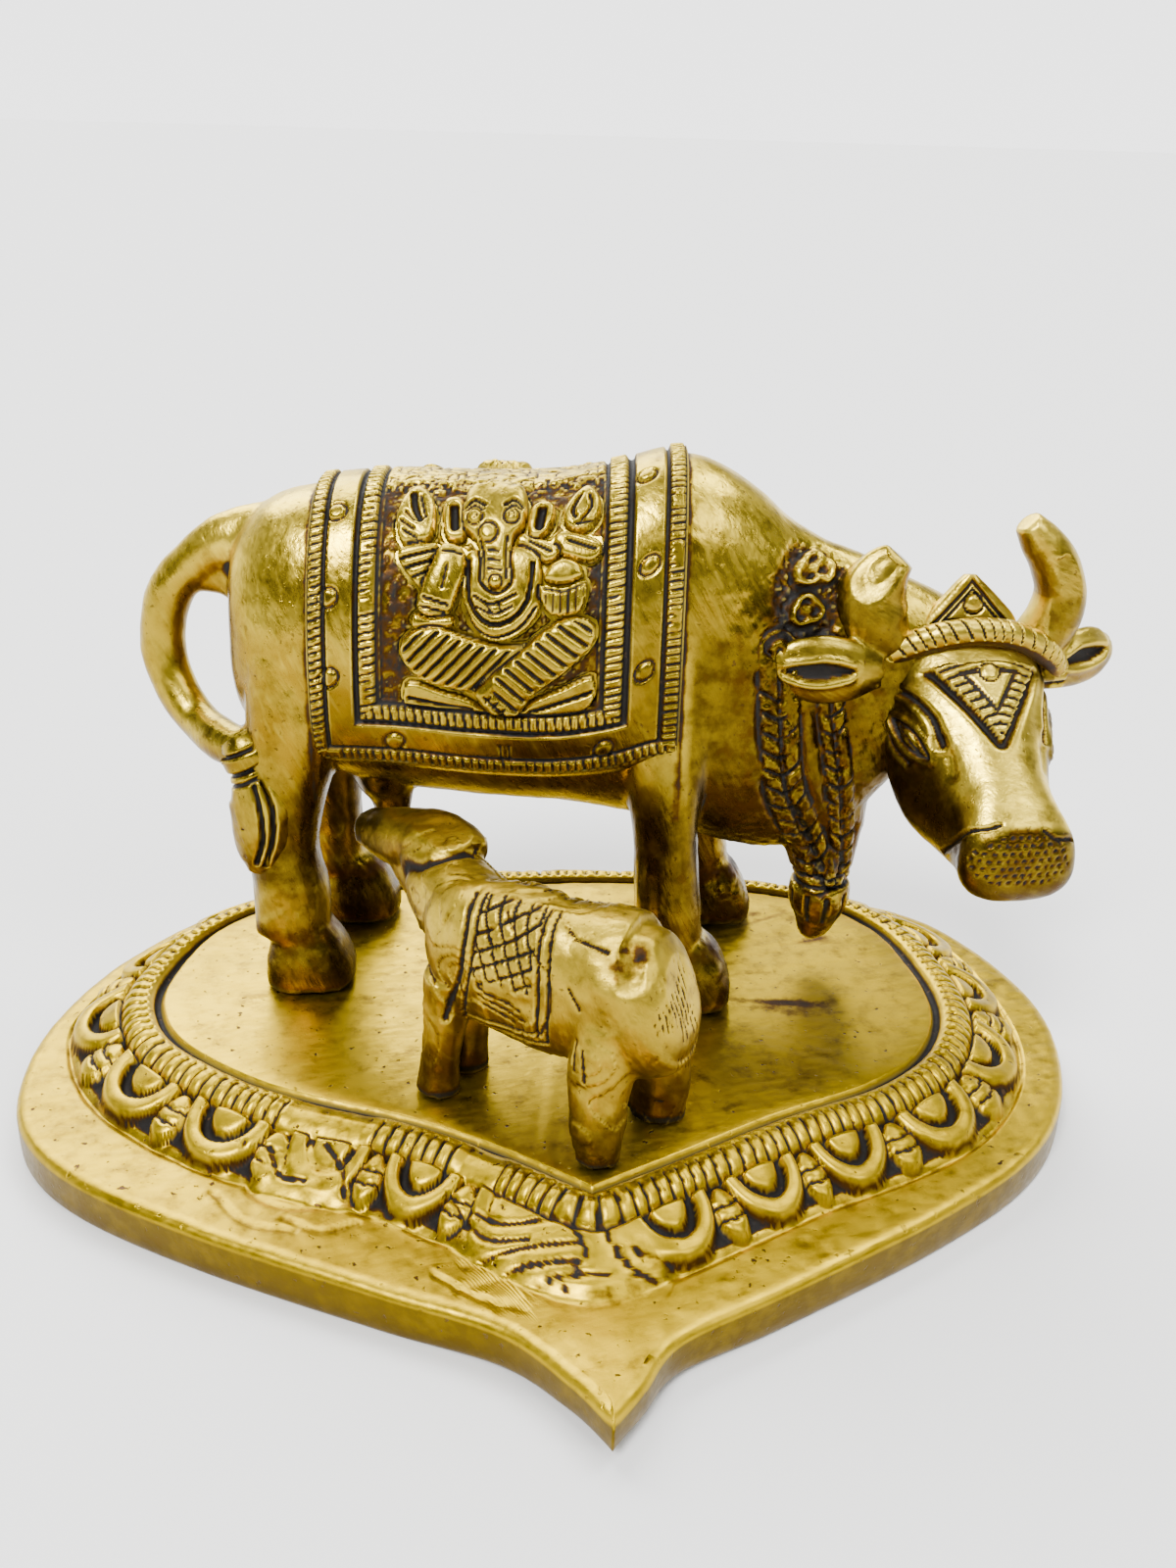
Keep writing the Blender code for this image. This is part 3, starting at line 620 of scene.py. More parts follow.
def makeBase():
    plan = leafPlan
    count = plan["columns"]
    groove, rim = evenLoop(plan["groove"], count), evenLoop(plan["rim"], count)
    normal, inward = outwardOf(groove, 9), -outwardOf(rim, 9)
    u = np.arange(count) / count
    reach = np.array([np.hypot(*(rim - point).T).min() for point in groove])
    squeeze = np.minimum(1, (reach - 2.4) / plan["bandWidth"])[:, None]
    middle = groove.mean(0)
    rings, shades = [], []

    def ring(flat, height, shade=0.0):
        rings.append(np.column_stack([flat, np.broadcast_to(height, count)]))
        shades.append(np.broadcast_to(shade, count))

    for f in (0.0, 0.16, 0.4, 0.62, 0.8, 0.92):
        ring(middle + (groove - middle) * f, plan["fieldZ"])
    at, level = np.array(plan["profile"]).T
    for w in np.linspace(at[0], plan["bandWidth"], 47):
        flat = groove + normal * w * squeeze
        height, shade = np.full(count, np.interp(w, at, level)), np.zeros(count)
        if plan["ropeFrom"] < w < plan["petalsFrom"]:
            detail, shade = ropeRelief(u * plan["petals"], np.full(count, w))
            faint = 0.25 + 0.75 * ease(0.45, 0.9, squeeze[:, 0])
            for cx, cy, radius in plan["rubbed"]:
                near = ease(1.2, 0.7, np.hypot(flat[:, 0] - cx, flat[:, 1] - cy) / radius)
                faint = faint * (1 - 0.96 * near)
            height, shade = height + detail * faint, shade * faint
        elif w >= plan["petalsFrom"]:
            a = ((u * plan["petals"]) % 1 - 0.5) * plan["petalPitch"]
            detail, shade = petalRelief(a, np.full(count, w))
            for cx, cy, radius, gone in plan["filed"]:
                near = ease(1.3, 0.6, np.hypot(flat[:, 0] - cx, flat[:, 1] - cy) / radius)
                detail = detail * (1 - gone * near) + 0.2 * gone * near
                shade = shade * (1 - gone * near)
            height = height + detail * ease(plan["bandWidth"], plan["bandWidth"] - 0.5, w)
        if abs(w) < plan["ropeFrom"]:
            shade = shade + 1.0
        ring(flat, height, shade)
    edge = rings[-1][:, :2]
    last = rim + inward * 1.4
    for f in np.linspace(1 / plan["rimRings"], 1, plan["rimRings"]):
        ring(edge + (last - edge) * f, plan["rimZ"])
    worn = plan["tipLift"] * np.exp(-((rim[:, 0] / 16) ** 2 + ((rim[:, 1] + 54) / 14) ** 2))
    for turn in (25, 50, 75, 90):
        a = radians(turn)
        ring(rim + inward * plan["rimRound"] * (1 - sin(a)), plan["rimZ"] - plan["rimRound"] * (1 - cos(a)))
    foot = plan["undersideZ"] + worn
    for inset, rise in ((0.0, 1.6), (0.05, 0.6), (0.2, 0.2), (0.5, 0.0)):
        ring(rim + inward * inset, foot + rise)
    for f in (0.74, 0.35, 0.0):
        ring(rim * f, plan["undersideZ"])
    table = np.array(rings)
    shadeTable = np.array(shades)

    def place(u, t):
        column = np.rint(u * count).astype(int) % count
        row = np.rint(t * (len(rings) - 1)).astype(int)
        return table[row, column]

    base = sheet("leafBase", count, len(rings) - 1, place)
    points = pointsOf(base.data)
    # the shade table is read back from the welded mesh's own places
    key = {tuple(np.round(p, 3)): s for p, s in zip(table.reshape(-1, 3), shadeTable.ravel())}
    shade = np.array([key.get(tuple(np.round(p, 3)), 0.0) for p in points])
    # the casting is a little uneven, and filed by hand near the tip
    normals = normalsOf(base.data)
    top = ease(0.2, 0.8, normals[:, 2])
    height = 0.10 * grain(points, 6.0) + 0.05 * grain(points, 1.3)
    for path in plan["strokes"]:
        d, _ = trail(points[:, 0], points[:, 1], path, reach=2, steps=14)
        line = ease(0.5, 0.1, d + 0.1 * grain(points, 1.5))
        height, shade = height - 0.2 * line, shade + 0.42 * line * top
    points = points + normals * (height * top)[:, None]
    setPoints(base.data, np.clip(points, plan["least"], plan["most"]))
    # brown film down the side wall and over the right of the field, thin at the tip: on the side wall and
    # the right of the field it is painted shade, and the thinning at the tip is a painted highlight
    side = ease(0.45, 0.15, normals[:, 2])
    east = ease(-30, 45, points[:, 0])
    rimward = ease(5.35, 5.15, points[:, 2])
    tip = np.exp(-((points[:, 0] / 14) ** 2 + ((points[:, 1] + 48) / 10) ** 2))
    filmAndShade = 0.22 + 0.16 * east * (1 - rimward) + 0.24 * rimward * ease(10, -40, points[:, 0])
    filmAndShade = side + (1 - side) * (filmAndShade * (1 - 0.7 * tip) + 0.15 * grain(points, 7.0))
    # painted shade down the side wall, deepest at its foot
    shade = shade + side * (0.16 + 0.3 * ease(3.4, 1.0, points[:, 2]))
    weathered(base, shade, 4, 26, fine=0.10, wide=0.5, filmAndShade=filmAndShade)
    # clean rim, with a thread of painted shade and patina where the petals end
    patinaAndShadeLayer = base.data.attributes["patinaAndShade"].data
    layer = np.empty(len(points), np.float32)
    patinaAndShadeLayer.foreach_get("value", layer)
    patinaAndShadeLayer.foreach_set("value", (layer * (1 - 0.8 * rimward)).astype(np.float32))
    finished(base, "leaf_base", baseBrass)


makeBase()


# Cow, in her own frame: x runs from tail to brow and y = 0 is the middle of her back

cowFrame = Matrix.Translation((-3.0, 23.05, 0)) @ Matrix.Rotation(radians(-6), 4, "Z")
cowBack = np.array(cowFrame.inverted())
cowTurn = np.array(cowFrame.to_3x3())

cowPlan = {
    # x, top, bottom, half width
    "trunk": [(-36.2, 61, 50, 4.0), (-35.0, 66.4, 44, 8.4), (-31, 70.2, 39.5, 11.4),
              (-25, 72.0, 37, 13.2), (-16, 73.0, 35, 14.0), (-6, 73.0, 34, 14.2),
              (3, 73.5, 33.5, 14.2), (10, 74.8, 32.5, 13.9), (15, 76.3, 31.5, 13.2),
              (19, 76.6, 30, 12.5), (23, 75.2, 28.6, 11.6), (27, 72.6, 27.6, 10.6),
              (31, 69.4, 27, 9.4), (35, 67.0, 27.4, 8.4), (39, 65.6, 29.4, 7.6), (43, 63.8, 33.5, 7),
              (47, 62.0, 39, 6.4), (51, 60.0, 45, 5.4), (54, 57.6, 50, 3.2)],
    "square": 2.3, "egg": 0.1, "voxel": 0.5, "floor": 9.8,
}


cloth = {
    "back": -25.2, "front": 18.0, "run": 41.6, "slant": 0.09, "thick": 0.9, "flank": 0.74,
    "columns": 222, "rows": 430, "tickPitch": 0.95,
    "studs": [(-22.0, 9.0), (-22.6, 19.0), (-22.6, 28.2), (13.2, 7.3), (13.8, 19.5), (13.6, 31.5),
              (-15.2, 37.0), (9.2, 39.5)],
}


def ownOf(points):
    return points @ cowBack[:3, :3].T + cowBack[:3, 3]


def leg(bm, stations, hoofX, hoofY):
    tube(bm, stations, (1, 0, 0), sides=24, rows=30, square=2.5, place=cowFrame)
    floor = cowPlan["floor"]
    hoof = [(hoofX, hoofY, floor, 5.5, 4.7), (hoofX - 0.1, hoofY, floor + 2.2, 5.6, 4.8),
            (hoofX - 0.6, hoofY, floor + 5.2, 4.9, 4.4), (hoofX - 1.4, hoofY, 18.0, 3.4, 3.6)]
    tube(bm, hoof, (1, 0, 0), sides=24, rows=16, square=3.0, place=cowFrame)


def cowShells(bm):
    rows = [(x, 0, (top + low) / 2, half, (top - low) / 2) for x, top, low, half in cowPlan["trunk"]]
    tube(bm, rows, (0, 1, 0), sides=64, rows=120, square=cowPlan["square"], egg=cowPlan["egg"],
         aim=(1, 0, 0), place=cowFrame)
    leg(bm, [(-27.6, -6.0, 52, 6.4, 6.6), (-28.2, -7.6, 44, 5.8, 6.2), (-29.4, -8.6, 36, 4.9, 5.2),
             (-30.1, -9.0, 29, 4.2, 4.3), (-29.5, -9.2, 22, 4.7, 4.2), (-29.5, -9.2, 17, 4.7, 4.2)],
        -27.4, -9.2)
    leg(bm, [(-27, 6.0, 52, 6.4, 6.6), (-27.4, 7.6, 44, 5.8, 6.2), (-27.4, 8.6, 36, 4.8, 5.2),
             (-27.2, 9.0, 29, 3.9, 4.2), (-27, 9.2, 22, 3.8, 4.0), (-26.6, 9.2, 17, 3.9, 4.0)],
        -24.0, 9.2)
    leg(bm, [(16, -6.4, 50, 7.5, 6.6), (16.6, -8.4, 42, 6.0, 5.4), (17.0, -10.2, 35, 4.2, 4.4),
             (17.5, -11.1, 27, 4.0, 4.2), (18.0, -11.4, 21, 4.2, 4.2), (18.4, -11.5, 17, 4.2, 4.1)],
        20.9, -11.5)
    leg(bm, [(18, 6.4, 50, 7.5, 6.6), (19.6, 8.4, 42, 6.0, 5.4), (21, 10.2, 35, 4.2, 4.4),
             (22, 11.1, 27, 4.0, 4.2), (22.8, 11.4, 21, 4.2, 4.2), (23.2, 11.5, 17, 4.2, 4.1)],
        25.2, 11.5)
    tube(bm, [(-32, 0, 65.6, 3.4, 4.0), (-37.2, 0, 64.6, 3.0, 3.4), (-41.6, 0, 61.4, 2.7, 2.9),
              (-44.6, 0, 57.2, 2.7, 2.8), (-45.6, -0.2, 51.8, 2.7, 2.8),
              (-44.4, -1.2, 47.0, 2.6, 2.7), (-41.3, -3.6, 43.2, 2.5, 2.6),
              (-37.2, -7.6, 41.9, 2.6, 2.6), (-34.0, -9.8, 41.6, 2.7, 2.6)],
         (0, 1, 0), sides=20, rows=60, place=cowFrame)
    tube(bm, [(-34, 0, 61.0, 1.8, 5.4), (-37.4, 0, 61.4, 1.8, 4.0), (-40.6, 0, 60.6, 1.8, 2.4)],
         (0, 1, 0), sides=16, rows=16, place=cowFrame)
    tube(bm, [(36.8, -1.0, 38, 6.6, 6.0), (37.4, -1.2, 31, 5.9, 4.8), (37.9, -1.3, 27.5, 4.8, 4.0),
              (38.3, -1.3, 24, 3.9, 3.5), (38.3, -1.3, 22.6, 3.4, 3.2), (38.3, -1.3, 21.8, 4.0, 3.7),
              (38.3, -1.3, 19.0, 4.0, 3.7), (38.2, -1.3, 16.9, 3.0, 2.8),
              (37.8, -1.3, 14.6, 2.0, 1.9), (37.6, -1.3, 13.4, 1.0, 1.0)],
         (1, 0, 0), sides=28, rows=60, place=cowFrame)
    ball(bm, (-17.8, -4.6, 38), (4.2, 4.6, 4.8), place=cowFrame)
    tube(bm, [(-17.4, -5, 36, 3.3, 3.2), (-17.1, -5, 33.4, 2.5, 2.4), (-17.0, -5, 30.8, 2.0, 1.9)],
         (1, 0, 0), sides=18, rows=12, place=cowFrame)


collar = {
    # two strings of leaves that run down the neck to the bell, in (x, z) of the cow's frame
    "strings": [([(29.4, 56), (29.9, 50), (31.4, 39), (33.8, 33), (36.4, 27), (37.2, 24)], 4.6),
                ([(35.6, 56), (36.1, 50), (38.2, 40), (39.6, 32), (40.2, 26), (39.8, 24)], 3.0)],
    "leafPitch": 2.5,
    "rosettes": [(33.4, 64.8, 2.7, 1.9), (32.6, 60.4, 2.2, 1.9)],
}


def neckRelief(own, height, dark):
    x, y, z = own.T
    side = ease(1.5, 4.5, np.abs(y))
    rough = grain(own, 0.6)
    # brown, pitted skin between the cloth and the head, with its darkness deepened as painted shade
    skin = side * ease(20.5, 25.0, x) * ease(68, 62, z + 0.25 * (x - 30)) * ease(46, 42, x)
    dark = dark + skin * (0.14 + 0.16 * grain(own, 2.2) + 0.14 * rough)
    height = height + skin * 0.07 * rough
    for path, wide in collar["strings"]:
        d, run = trail(x, z, path, reach=5, steps=30)
        inside = ease(wide * 0.5 + 0.15, wide * 0.5 - 0.1, d)
        slant = (run / collar["leafPitch"] + 0.30 * d + 0.10 * grain(own, 2.0)) % 1
        leafLine = ease(0.20, 0.05, np.abs(slant - 0.5)) * ease(-0.6, 0.2, grain(own + 9, 2.4))
        form = 0.42 + 0.15 * rough - 0.6 * leafLine - 0.45 * ease(0.5, 0.15, d)
        height = height + side * inside * form
        broken = ease(-0.5, 0.5, grain(own + 23, 2.0))
        height = height - side * 0.4 * broken * np.exp(-((d - wide * 0.5 - 0.3) / 0.45) ** 2)
        line = np.maximum(leafLine, ease(0.5, 0.15, d) * broken)
        dark = dark + side * inside * (0.8 * line + 0.25 * rough)
        dark = dark + side * 0.55 * broken * np.exp(-((d - wide * 0.5 - 0.3) / 0.4) ** 2)
    # pierced-looking leaves lower down
    for k in range(5):
        cx, cz = 33.6 + 0.95 * k, 34.6 - 2.1 * k
        r = np.hypot((x - cx + 0.35 * (z - cz)) / 0.65, (z - cz) / 1.15)
        pit = side * ease(1.1, 0.6, r)
        height, dark = height - 0.5 * pit, dark + 0.9 * pit
    ground = side * ease(1.25, 0.85, np.hypot((x - 33.2) / 4.6, (z - 62.4) / 5.6))
    height = height - ground * (0.55 - 0.4 * rough)
    dark = dark + ground * (0.55 + 0.35 * rough)
    for cx, cz, rx, rz in collar["rosettes"]:
        sway = 0.35 * grain(own + 5, 1.3)
        r = np.hypot((x - cx) / rx, (z - cz) / rz) + sway * 0.5
        angle = np.arctan2(z - cz, x - cx)
        loop = np.exp(-((r - 0.72 - 0.12 * np.cos(3 * angle + 1)) / 0.24) ** 2)
        bar = np.exp(-(r / 0.34) ** 2)
        mask = side * ease(1.15, 0.9, r)
        form = -0.45 + 1.0 * np.clip(loop + bar, 0, 1) + 0.22 * rough
        height = height * (1 - mask) + form * mask
        dark = dark * (1 - mask) + mask * (0.95 - 1.05 * np.clip(loop + bar, 0, 1))
    # rings and flutes of the bell
    onBell = (x > 32.5) & (x < 44) & (z < 25.5)
    for ring in (24.0, 22.4):
        line = ease(0.45, 0.12, np.abs(z - ring))
        height = np.where(onBell, height - 0.5 * line, height)
        dark = np.where(onBell, dark + 0.8 * line, dark)
    angle = np.arctan2(y + 1.3, x - 38.2)
    flute = ease(0.45, 0.9, np.cos(angle * 9))
    low = ease(21.4, 20.6, z) * ease(16.6, 17.4, z)
    height = np.where(onBell, height - 0.5 * low * flute, height)
    dark = np.where(onBell, dark + 0.9 * low * flute + 0.1, dark)
    return height, dark


def makeCowBody():
    bm = bmesh.new()
    cowShells(bm)
    body = fused("cowBody", bm, cowPlan["voxel"], 4)

    def collarPart(points):
        x, _, z = ownOf(points).T
        return (x > 25.5) & (x < 44.5) & (z > 13) & (z < 70)

    refined(body, collarPart)
    points = pointsOf(body.data)
    normals = normalsOf(body.data)
    own = ownOf(points)
    height = 0.14 * grain(own, 5.0) + 0.05 * grain(own, 1.6)
    # filed facets on the legs
    height = height + 0.10 * np.round(1.5 * grain(own * (1, 1, 0.35), 3.0)) * ease(34, 30, own[:, 2])
    x, _, z = own.T
    dark = 0.10 * ease(40, 30, z) * ease(-0.4, 0.6, grain(own, 4.0))
    # painted shadow on the body just past the cloth's edges, painted contact shade where the hooves meet
    # the base, and a dark joint line at the tops of the hooves
    past = np.maximum(x - cloth["front"], cloth["back"] - x)
    dark = dark + 0.8 * ease(0.7, 0.1, past) * ease(-0.4, 0.0, past) * (z > 36)
    dark = dark + 0.8 * ease(11.6, 10.2, z) + 0.35 * ease(1.6, 0.3, np.abs(z - 17.6))
    # golden brown film, mostly painted shade: darker low down, on the neck, on the lower rump and along the
    # cloth, and thin over the shoulder as a painted highlight
    filmAndShade = 0.66 * ease(46, 34, z) + 0.25 * ease(2.6, 0.4, past) * (z < 66) + 0.08 * grain(own, 6.0)
    filmAndShade = filmAndShade + 0.3 * ease(-24, -36, x) * ease(66, 58, z) + 0.14 * ease(66, 56, z)
    filmAndShade = np.maximum(filmAndShade, 0.95 * ease(22.5, 28.0, x) * ease(66, 60, z + 0.3 * (x - 30)))
    filmAndShade = np.maximum(filmAndShade, 0.95 * ease(17.8, 20.0, x) * ease(64, 55, z + 1.2 * grain(own, 4.0)))
    filmAndShade = filmAndShade * (1 - 0.4 * ease(26, 23, z) * ease(17.5, 19.5, z))
    height, dark = neckRelief(own, height, dark)
    setPoints(body.data, points + normals * height[:, None])
    weathered(body, dark, 3, 24, fine=0.12, wide=0.6, filmAndShade=filmAndShade)
    finished(body, "cow", cowBrass)


makeCowBody()


# Saddle cloth: a fine sheet over the trunk, x along the cow and v down the flank from her spine

def trunkAt(x):
    # top, bottom and half width of the trunk at x
    rows = curve(cowPlan["trunk"], np.linspace(0, 1, 160))
    return [np.interp(x, rows[:, 0], rows[:, k]) for k in (1, 2, 3)]


def sectionRun():
    # the trunk's section from spine to belly: how far across and up, and the length run along it
    turn = np.linspace(pi / 2, -pi / 2, 400)
    across = cloth["flank"] * np.abs(np.cos(turn)) ** (2 / cowPlan["square"])
    up = np.sign(turn) * np.abs(np.sin(turn)) ** (2 / cowPlan["square"])
    return across, up, np.concatenate([[0], np.cumsum(np.hypot(np.diff(across), np.diff(up)))])


def hemAt(x):
    return cloth["run"] + cloth["slant"] * x


def clothPoint(x, s, swell):
    # the trunk's own section, swelled; s runs from -1 at the near hem to 1 at the far hem
    top, low, half = trunkAt(x)
    tall, wide = (top - low) / 2 + swell, half + swell
    ringY, ringZ, run = sectionRun()
    v = np.abs(s) * hemAt(x)
    across = np.interp(v / tall, run, ringY / cloth["flank"])
    up = np.interp(v / tall, run, ringZ)
    y = np.sign(s) * wide * across * (1 - cowPlan["egg"] * up)
    return np.column_stack([x, y, (top + low) / 2 + tall * up])


figure = {
    # forms of the seated elephant-headed figure, back to front: outline in (x, v), top, dome
    "seat": ([(-13.5, 29.4), (-9.5, 30.4), (-6.2, 31.4), (-2.6, 33.6), (0.6, 31.8), (4.4, 30.6),
              (7.6, 30.0), (7.5, 33.2), (3.4, 34.1), (-2.6, 34.4), (-8.6, 34.0), (-13.4, 33.0)],
             0.35, 0.6),
    "rearHandLeft": ([(-12.9, 6.2), (-14.5, 8.3), (-15.0, 11.3), (-13.9, 13.9), (-11.3, 13.3),
                      (-10.6, 10.6), (-11.2, 7.6)], 0.75, 0.9),
    "rearArmLeft": ([(-14.7, 14.6), (-10.4, 13.6), (-10.2, 15.2), (-11.2, 18.4), (-12.6, 18.2)],
                    0.6, 0.8),
    "rearHandRight": ([(6.6, 7.0), (7.8, 8.6), (8.0, 11.2), (6.6, 12.9), (4.6, 12.4), (3.8, 10.6),
                       (4.9, 8.4)], 0.75, 0.9),
    "rearArmRight": ([(3.0, 13.2), (4.4, 12.8), (8.0, 14.6), (8.0, 16.4), (6.4, 16.6), (3.0, 14.8)],
                     0.6, 0.7),
    "shoulderRight": ([(-1.2, 12.9), (0.2, 12.7), (3.2, 14.4), (3.2, 15.8), (1.6, 15.9),
                       (-1.0, 14.2)], 0.65, 0.6),
    "earLeft": ([(-9.7, 8.5), (-8.2, 7.8), (-7.2, 9.0), (-7.0, 12.4), (-8.1, 13.3), (-9.5, 12.4)],
                0.75, 0.7),
    "earRight": ([(0.2, 9.6), (1.6, 8.6), (2.9, 9.4), (2.6, 11.6), (1.2, 13.1), (0.0, 12.4)],
                 0.75, 0.7),
    "belly": ([(-7.2, 15.2), (-7.0, 20.5), (-5.6, 23.3), (-3.4, 24.5), (-0.6, 23.6), (1.5, 20.8),
               (1.2, 15.4), (-3.0, 13.8)], 0.7, 2.0),
    "foreArmLeft": ([(-9.6, 13.8), (-7.4, 14.2), (-7.0, 16.4), (-7.8, 19.0), (-8.8, 21.4),
                     (-10.6, 21.9), (-12.2, 21.0), (-11.8, 18.6), (-10.8, 16.0)], 1.1, 1.6),
    "handLeft": ([(-12.6, 21.4), (-10.8, 21.9), (-8.6, 21.6), (-8.2, 22.6), (-10.6, 23.4),
                  (-12.8, 22.9)], 0.9, 0.7),
    "sweet": ([(1.9, 18.0), (2.4, 16.6), (3.9, 15.9), (5.6, 16.6), (6.3, 18.2), (4.2, 18.7)],
              1.0, 1.0),
    "bowl": ([(1.6, 18.5), (4.2, 19.1), (6.5, 18.7), (6.6, 20.6), (5.8, 22.2), (2.8, 21.9),
              (1.7, 20.2)], 0.95, 0.8),
    "legLeft": ([(-13.8, 24.2), (-10.4, 22.8), (-6.6, 24.0), (-2.6, 25.0), (0.8, 25.2),
                 (-1.2, 27.0), (-5.0, 30.0), (-7.6, 29.9), (-11.6, 28.9), (-13.9, 26.6)], 1.05, 1.3),
    "legRight": ([(7.6, 23.8), (7.6, 26.0), (4.4, 28.5), (1.2, 30.5), (-1.2, 33.4), (-3.2, 33.3),
                  (-5.7, 30.5), (-4.0, 28.4), (-0.6, 25.7), (2.2, 23.4), (5.0, 22.4)], 1.3, 1.2),
    "head": ([(-7.3, 8.2), (-6.6, 6.4), (-3.8, 5.2), (-1.1, 6.2), (-0.3, 8.2), (-0.6, 11.4),
              (-1.7, 13.2), (-2.1, 15.6), (-1.9, 17.9), (-3.4, 19.0), (-5.0, 17.9), (-5.1, 15.6),
              (-5.8, 13.4), (-7.3, 11.6)], 1.25, 1.3),
}

figureLines = [
    # path, width, depth
    ([(-13.2, 7.8), (-12.9, 9.6), (-12.3, 11.0)], 0.8, 0.6),
    ([(-14.4, 11.2), (-13.0, 12.2)], 0.35, 0.4), ([(-14.0, 12.4), (-12.6, 13.2)], 0.35, 0.4),
    ([(-13.9, 10.2), (-12.9, 11.2)], 0.35, 0.35), ([(-12.4, 8.0), (-11.7, 10.8)], 0.35, 0.35),
    ([(-14.3, 15.5), (-10.6, 14.5)], 0.4, 0.5), ([(-13.7, 16.5), (-10.8, 15.6)], 0.4, 0.5),
    ([(-12.9, 17.5), (-11.2, 16.8)], 0.35, 0.4),
    ([(5.9, 8.4), (5.0, 10.4), (5.3, 11.4)], 0.45, 0.5),
    ([(6.9, 8.6), (7.0, 10.6), (6.0, 11.8)], 0.4, 0.45),
    ([(4.6, 13.9), (7.6, 15.5)], 0.4, 0.5), ([(5.4, 12.2), (7.4, 12.2)], 0.35, 0.4),
    ([(0.2, 13.6), (2.6, 14.9)], 0.35, 0.4),
    ([(-8.5, 9.4), (-8.3, 11.8)], 1.0, 0.8), ([(1.5, 9.9), (1.2, 11.9)], 1.0, 0.8),
    ([(-6.6, 15.6), (-6.5, 19.6), (-5.2, 21.8), (-3.5, 22.6), (-1.4, 21.9), (0.2, 19.8), (0.6, 16)],
     0.5, 0.6),
    ([(-7.0, 20.4), (-5.7, 22.9), (-3.5, 24.0), (-0.8, 23.1), (1.1, 20.8)], 0.35, 0.4),
    ([(-5.9, 19.4), (-3.9, 20.3), (-1.2, 19.3)], 0.35, 0.4),
    ([(-5.6, 20.6), (-3.6, 21.4), (-1.6, 20.6)], 0.3, 0.3),
    ([(-4.6, 20.2), (-3.9, 21.2)], 0.25, 0.3), ([(-3.2, 20.2), (-2.8, 21.2)], 0.25, 0.3),
    ([(-11.6, 19.6), (-8.8, 20.4)], 0.35, 0.45), ([(-11.9, 20.6), (-9.2, 21.2)], 0.35, 0.4),
    ([(-9.5, 14.6), (-7.4, 14.9)], 0.35, 0.4), ([(-9.0, 16.2), (-9.5, 18.6)], 0.3, 0.25),
    ([(1.9, 18.9), (4.2, 19.5), (6.4, 19.1)], 0.3, 0.35),
    ([(-7.2, 9.6), (-6.1, 8.9), (-5.0, 9.5)], 0.45, 0.5),
    ([(-2.7, 9.5), (-1.7, 8.9), (-0.7, 9.6)], 0.45, 0.5),
    ([(-7.1, 10.1), (-6.1, 9.6), (-5.1, 10.1)], 0.3, 0.3),
    ([(-2.6, 10.1), (-1.7, 9.6), (-0.8, 10.1)], 0.3, 0.3),
    ([(-5.4, 13.6), (-4.9, 15.0), (-4.8, 17.6)], 0.35, 0.35),
    ([(-2.3, 13.2), (-2.4, 15.0), (-2.3, 17.6)], 0.35, 0.35),
    ([(-4.4, 14.6), (-3.2, 14.8)], 0.3, 0.25), ([(-4.4, 15.6), (-3.0, 15.8)], 0.3, 0.25),
    ([(-4.4, 16.6), (-2.9, 16.8)], 0.3, 0.25),
    ([(-13.3, 31.2), (-9.6, 31.9), (-6.2, 32.4)], 0.5, 0.5),
    ([(0.6, 33.0), (4.0, 32.2), (7.5, 31.7)], 0.5, 0.5),
    ([(-4.6, 30.6), (-2.4, 32.6)], 0.3, 0.35), ([(-3.6, 31.9), (-3.0, 31.2)], 0.25, 0.3),
    ([(-2.8, 32.7), (-2.2, 32.0)], 0.25, 0.3), ([(-4.4, 31.2), (-3.8, 30.5)], 0.25, 0.3),
]


def figureRelief(x, v):
    rough = grain(np.column_stack([x, v, 0 * x]), 0.5)
    height = -0.75 + 0.12 * rough
    dark = 0.58 + 0.35 * rough
    pleats = {"legLeft": (0.72, 0.70, 1.22), "legRight": (0.66, -0.75, 1.42)}
    for name, (loop, top, dome) in figure.items():
        d = outline(x, v, loop)
        height = raised(height, d, top * 1.25, dome, ditch=0.55)
        inside = d < 0
        dark = np.maximum(dark, 0.95 * np.exp(-(np.clip(d - 0.12, 0, 9) / 0.28) ** 2) * ~inside)
        if name in pleats:
            ax, av, pitch = pleats[name]
            fold = (ax * x + av * v) / pitch % 1
            line = ease(0.24, 0.05, np.abs(fold - 0.5)) * ease(-0.25, -0.6, d)
            if name == "legRight":
                line = line * ease(-4.0, -2.6, x)
            height = np.where(inside, height - 0.65 * line, height)
            dark = np.where(inside, 0.8 * line, dark)
        else:
            dark = np.where(inside, 0.0, dark)
        if name == "bowl":
            line = ease(0.25, 0.08, np.abs((x - 1.7) / 0.85 % 1 - 0.5)) * ease(-0.1, -0.4, d)
            height = np.where(inside & (v > 19.6), height - 0.4 * line, height)
    for path, width, depth in figureLines:
        d, _ = trail(x, v, path, reach=1.5, steps=12 if len(path) > 2 else 0)
        height = cut(height, d, width * 1.5, depth * 1.3)
        dark = np.maximum(dark, 0.85 * ease(width * 0.75, width * 0.25, d))
    for cx, cv in ((-6.1, 10.9), (-1.9, 10.9)):
        height = stud(height, x, v, (cx, cv), 0.85, 0.35)
        height = cut(height, np.abs(np.hypot(x - cx, v - cv) - 0.35), 0.2, 0.2)
    height = stud(height, x, v, (-4.5, 12.7), 1.05, 0.25)
    height = stud(height, x, v, (-3.5, 18.0), 0.75, 0.25)
    # curls of the headdress
    curls = ease(1.3, 0.8, np.hypot((x + 3.8) / 3.8, (v - 5.2) / 1.9))
    height = height + 0.3 * curls * grain(np.column_stack([x, v, 0 * x + 5]), 0.7)
    return height, dark


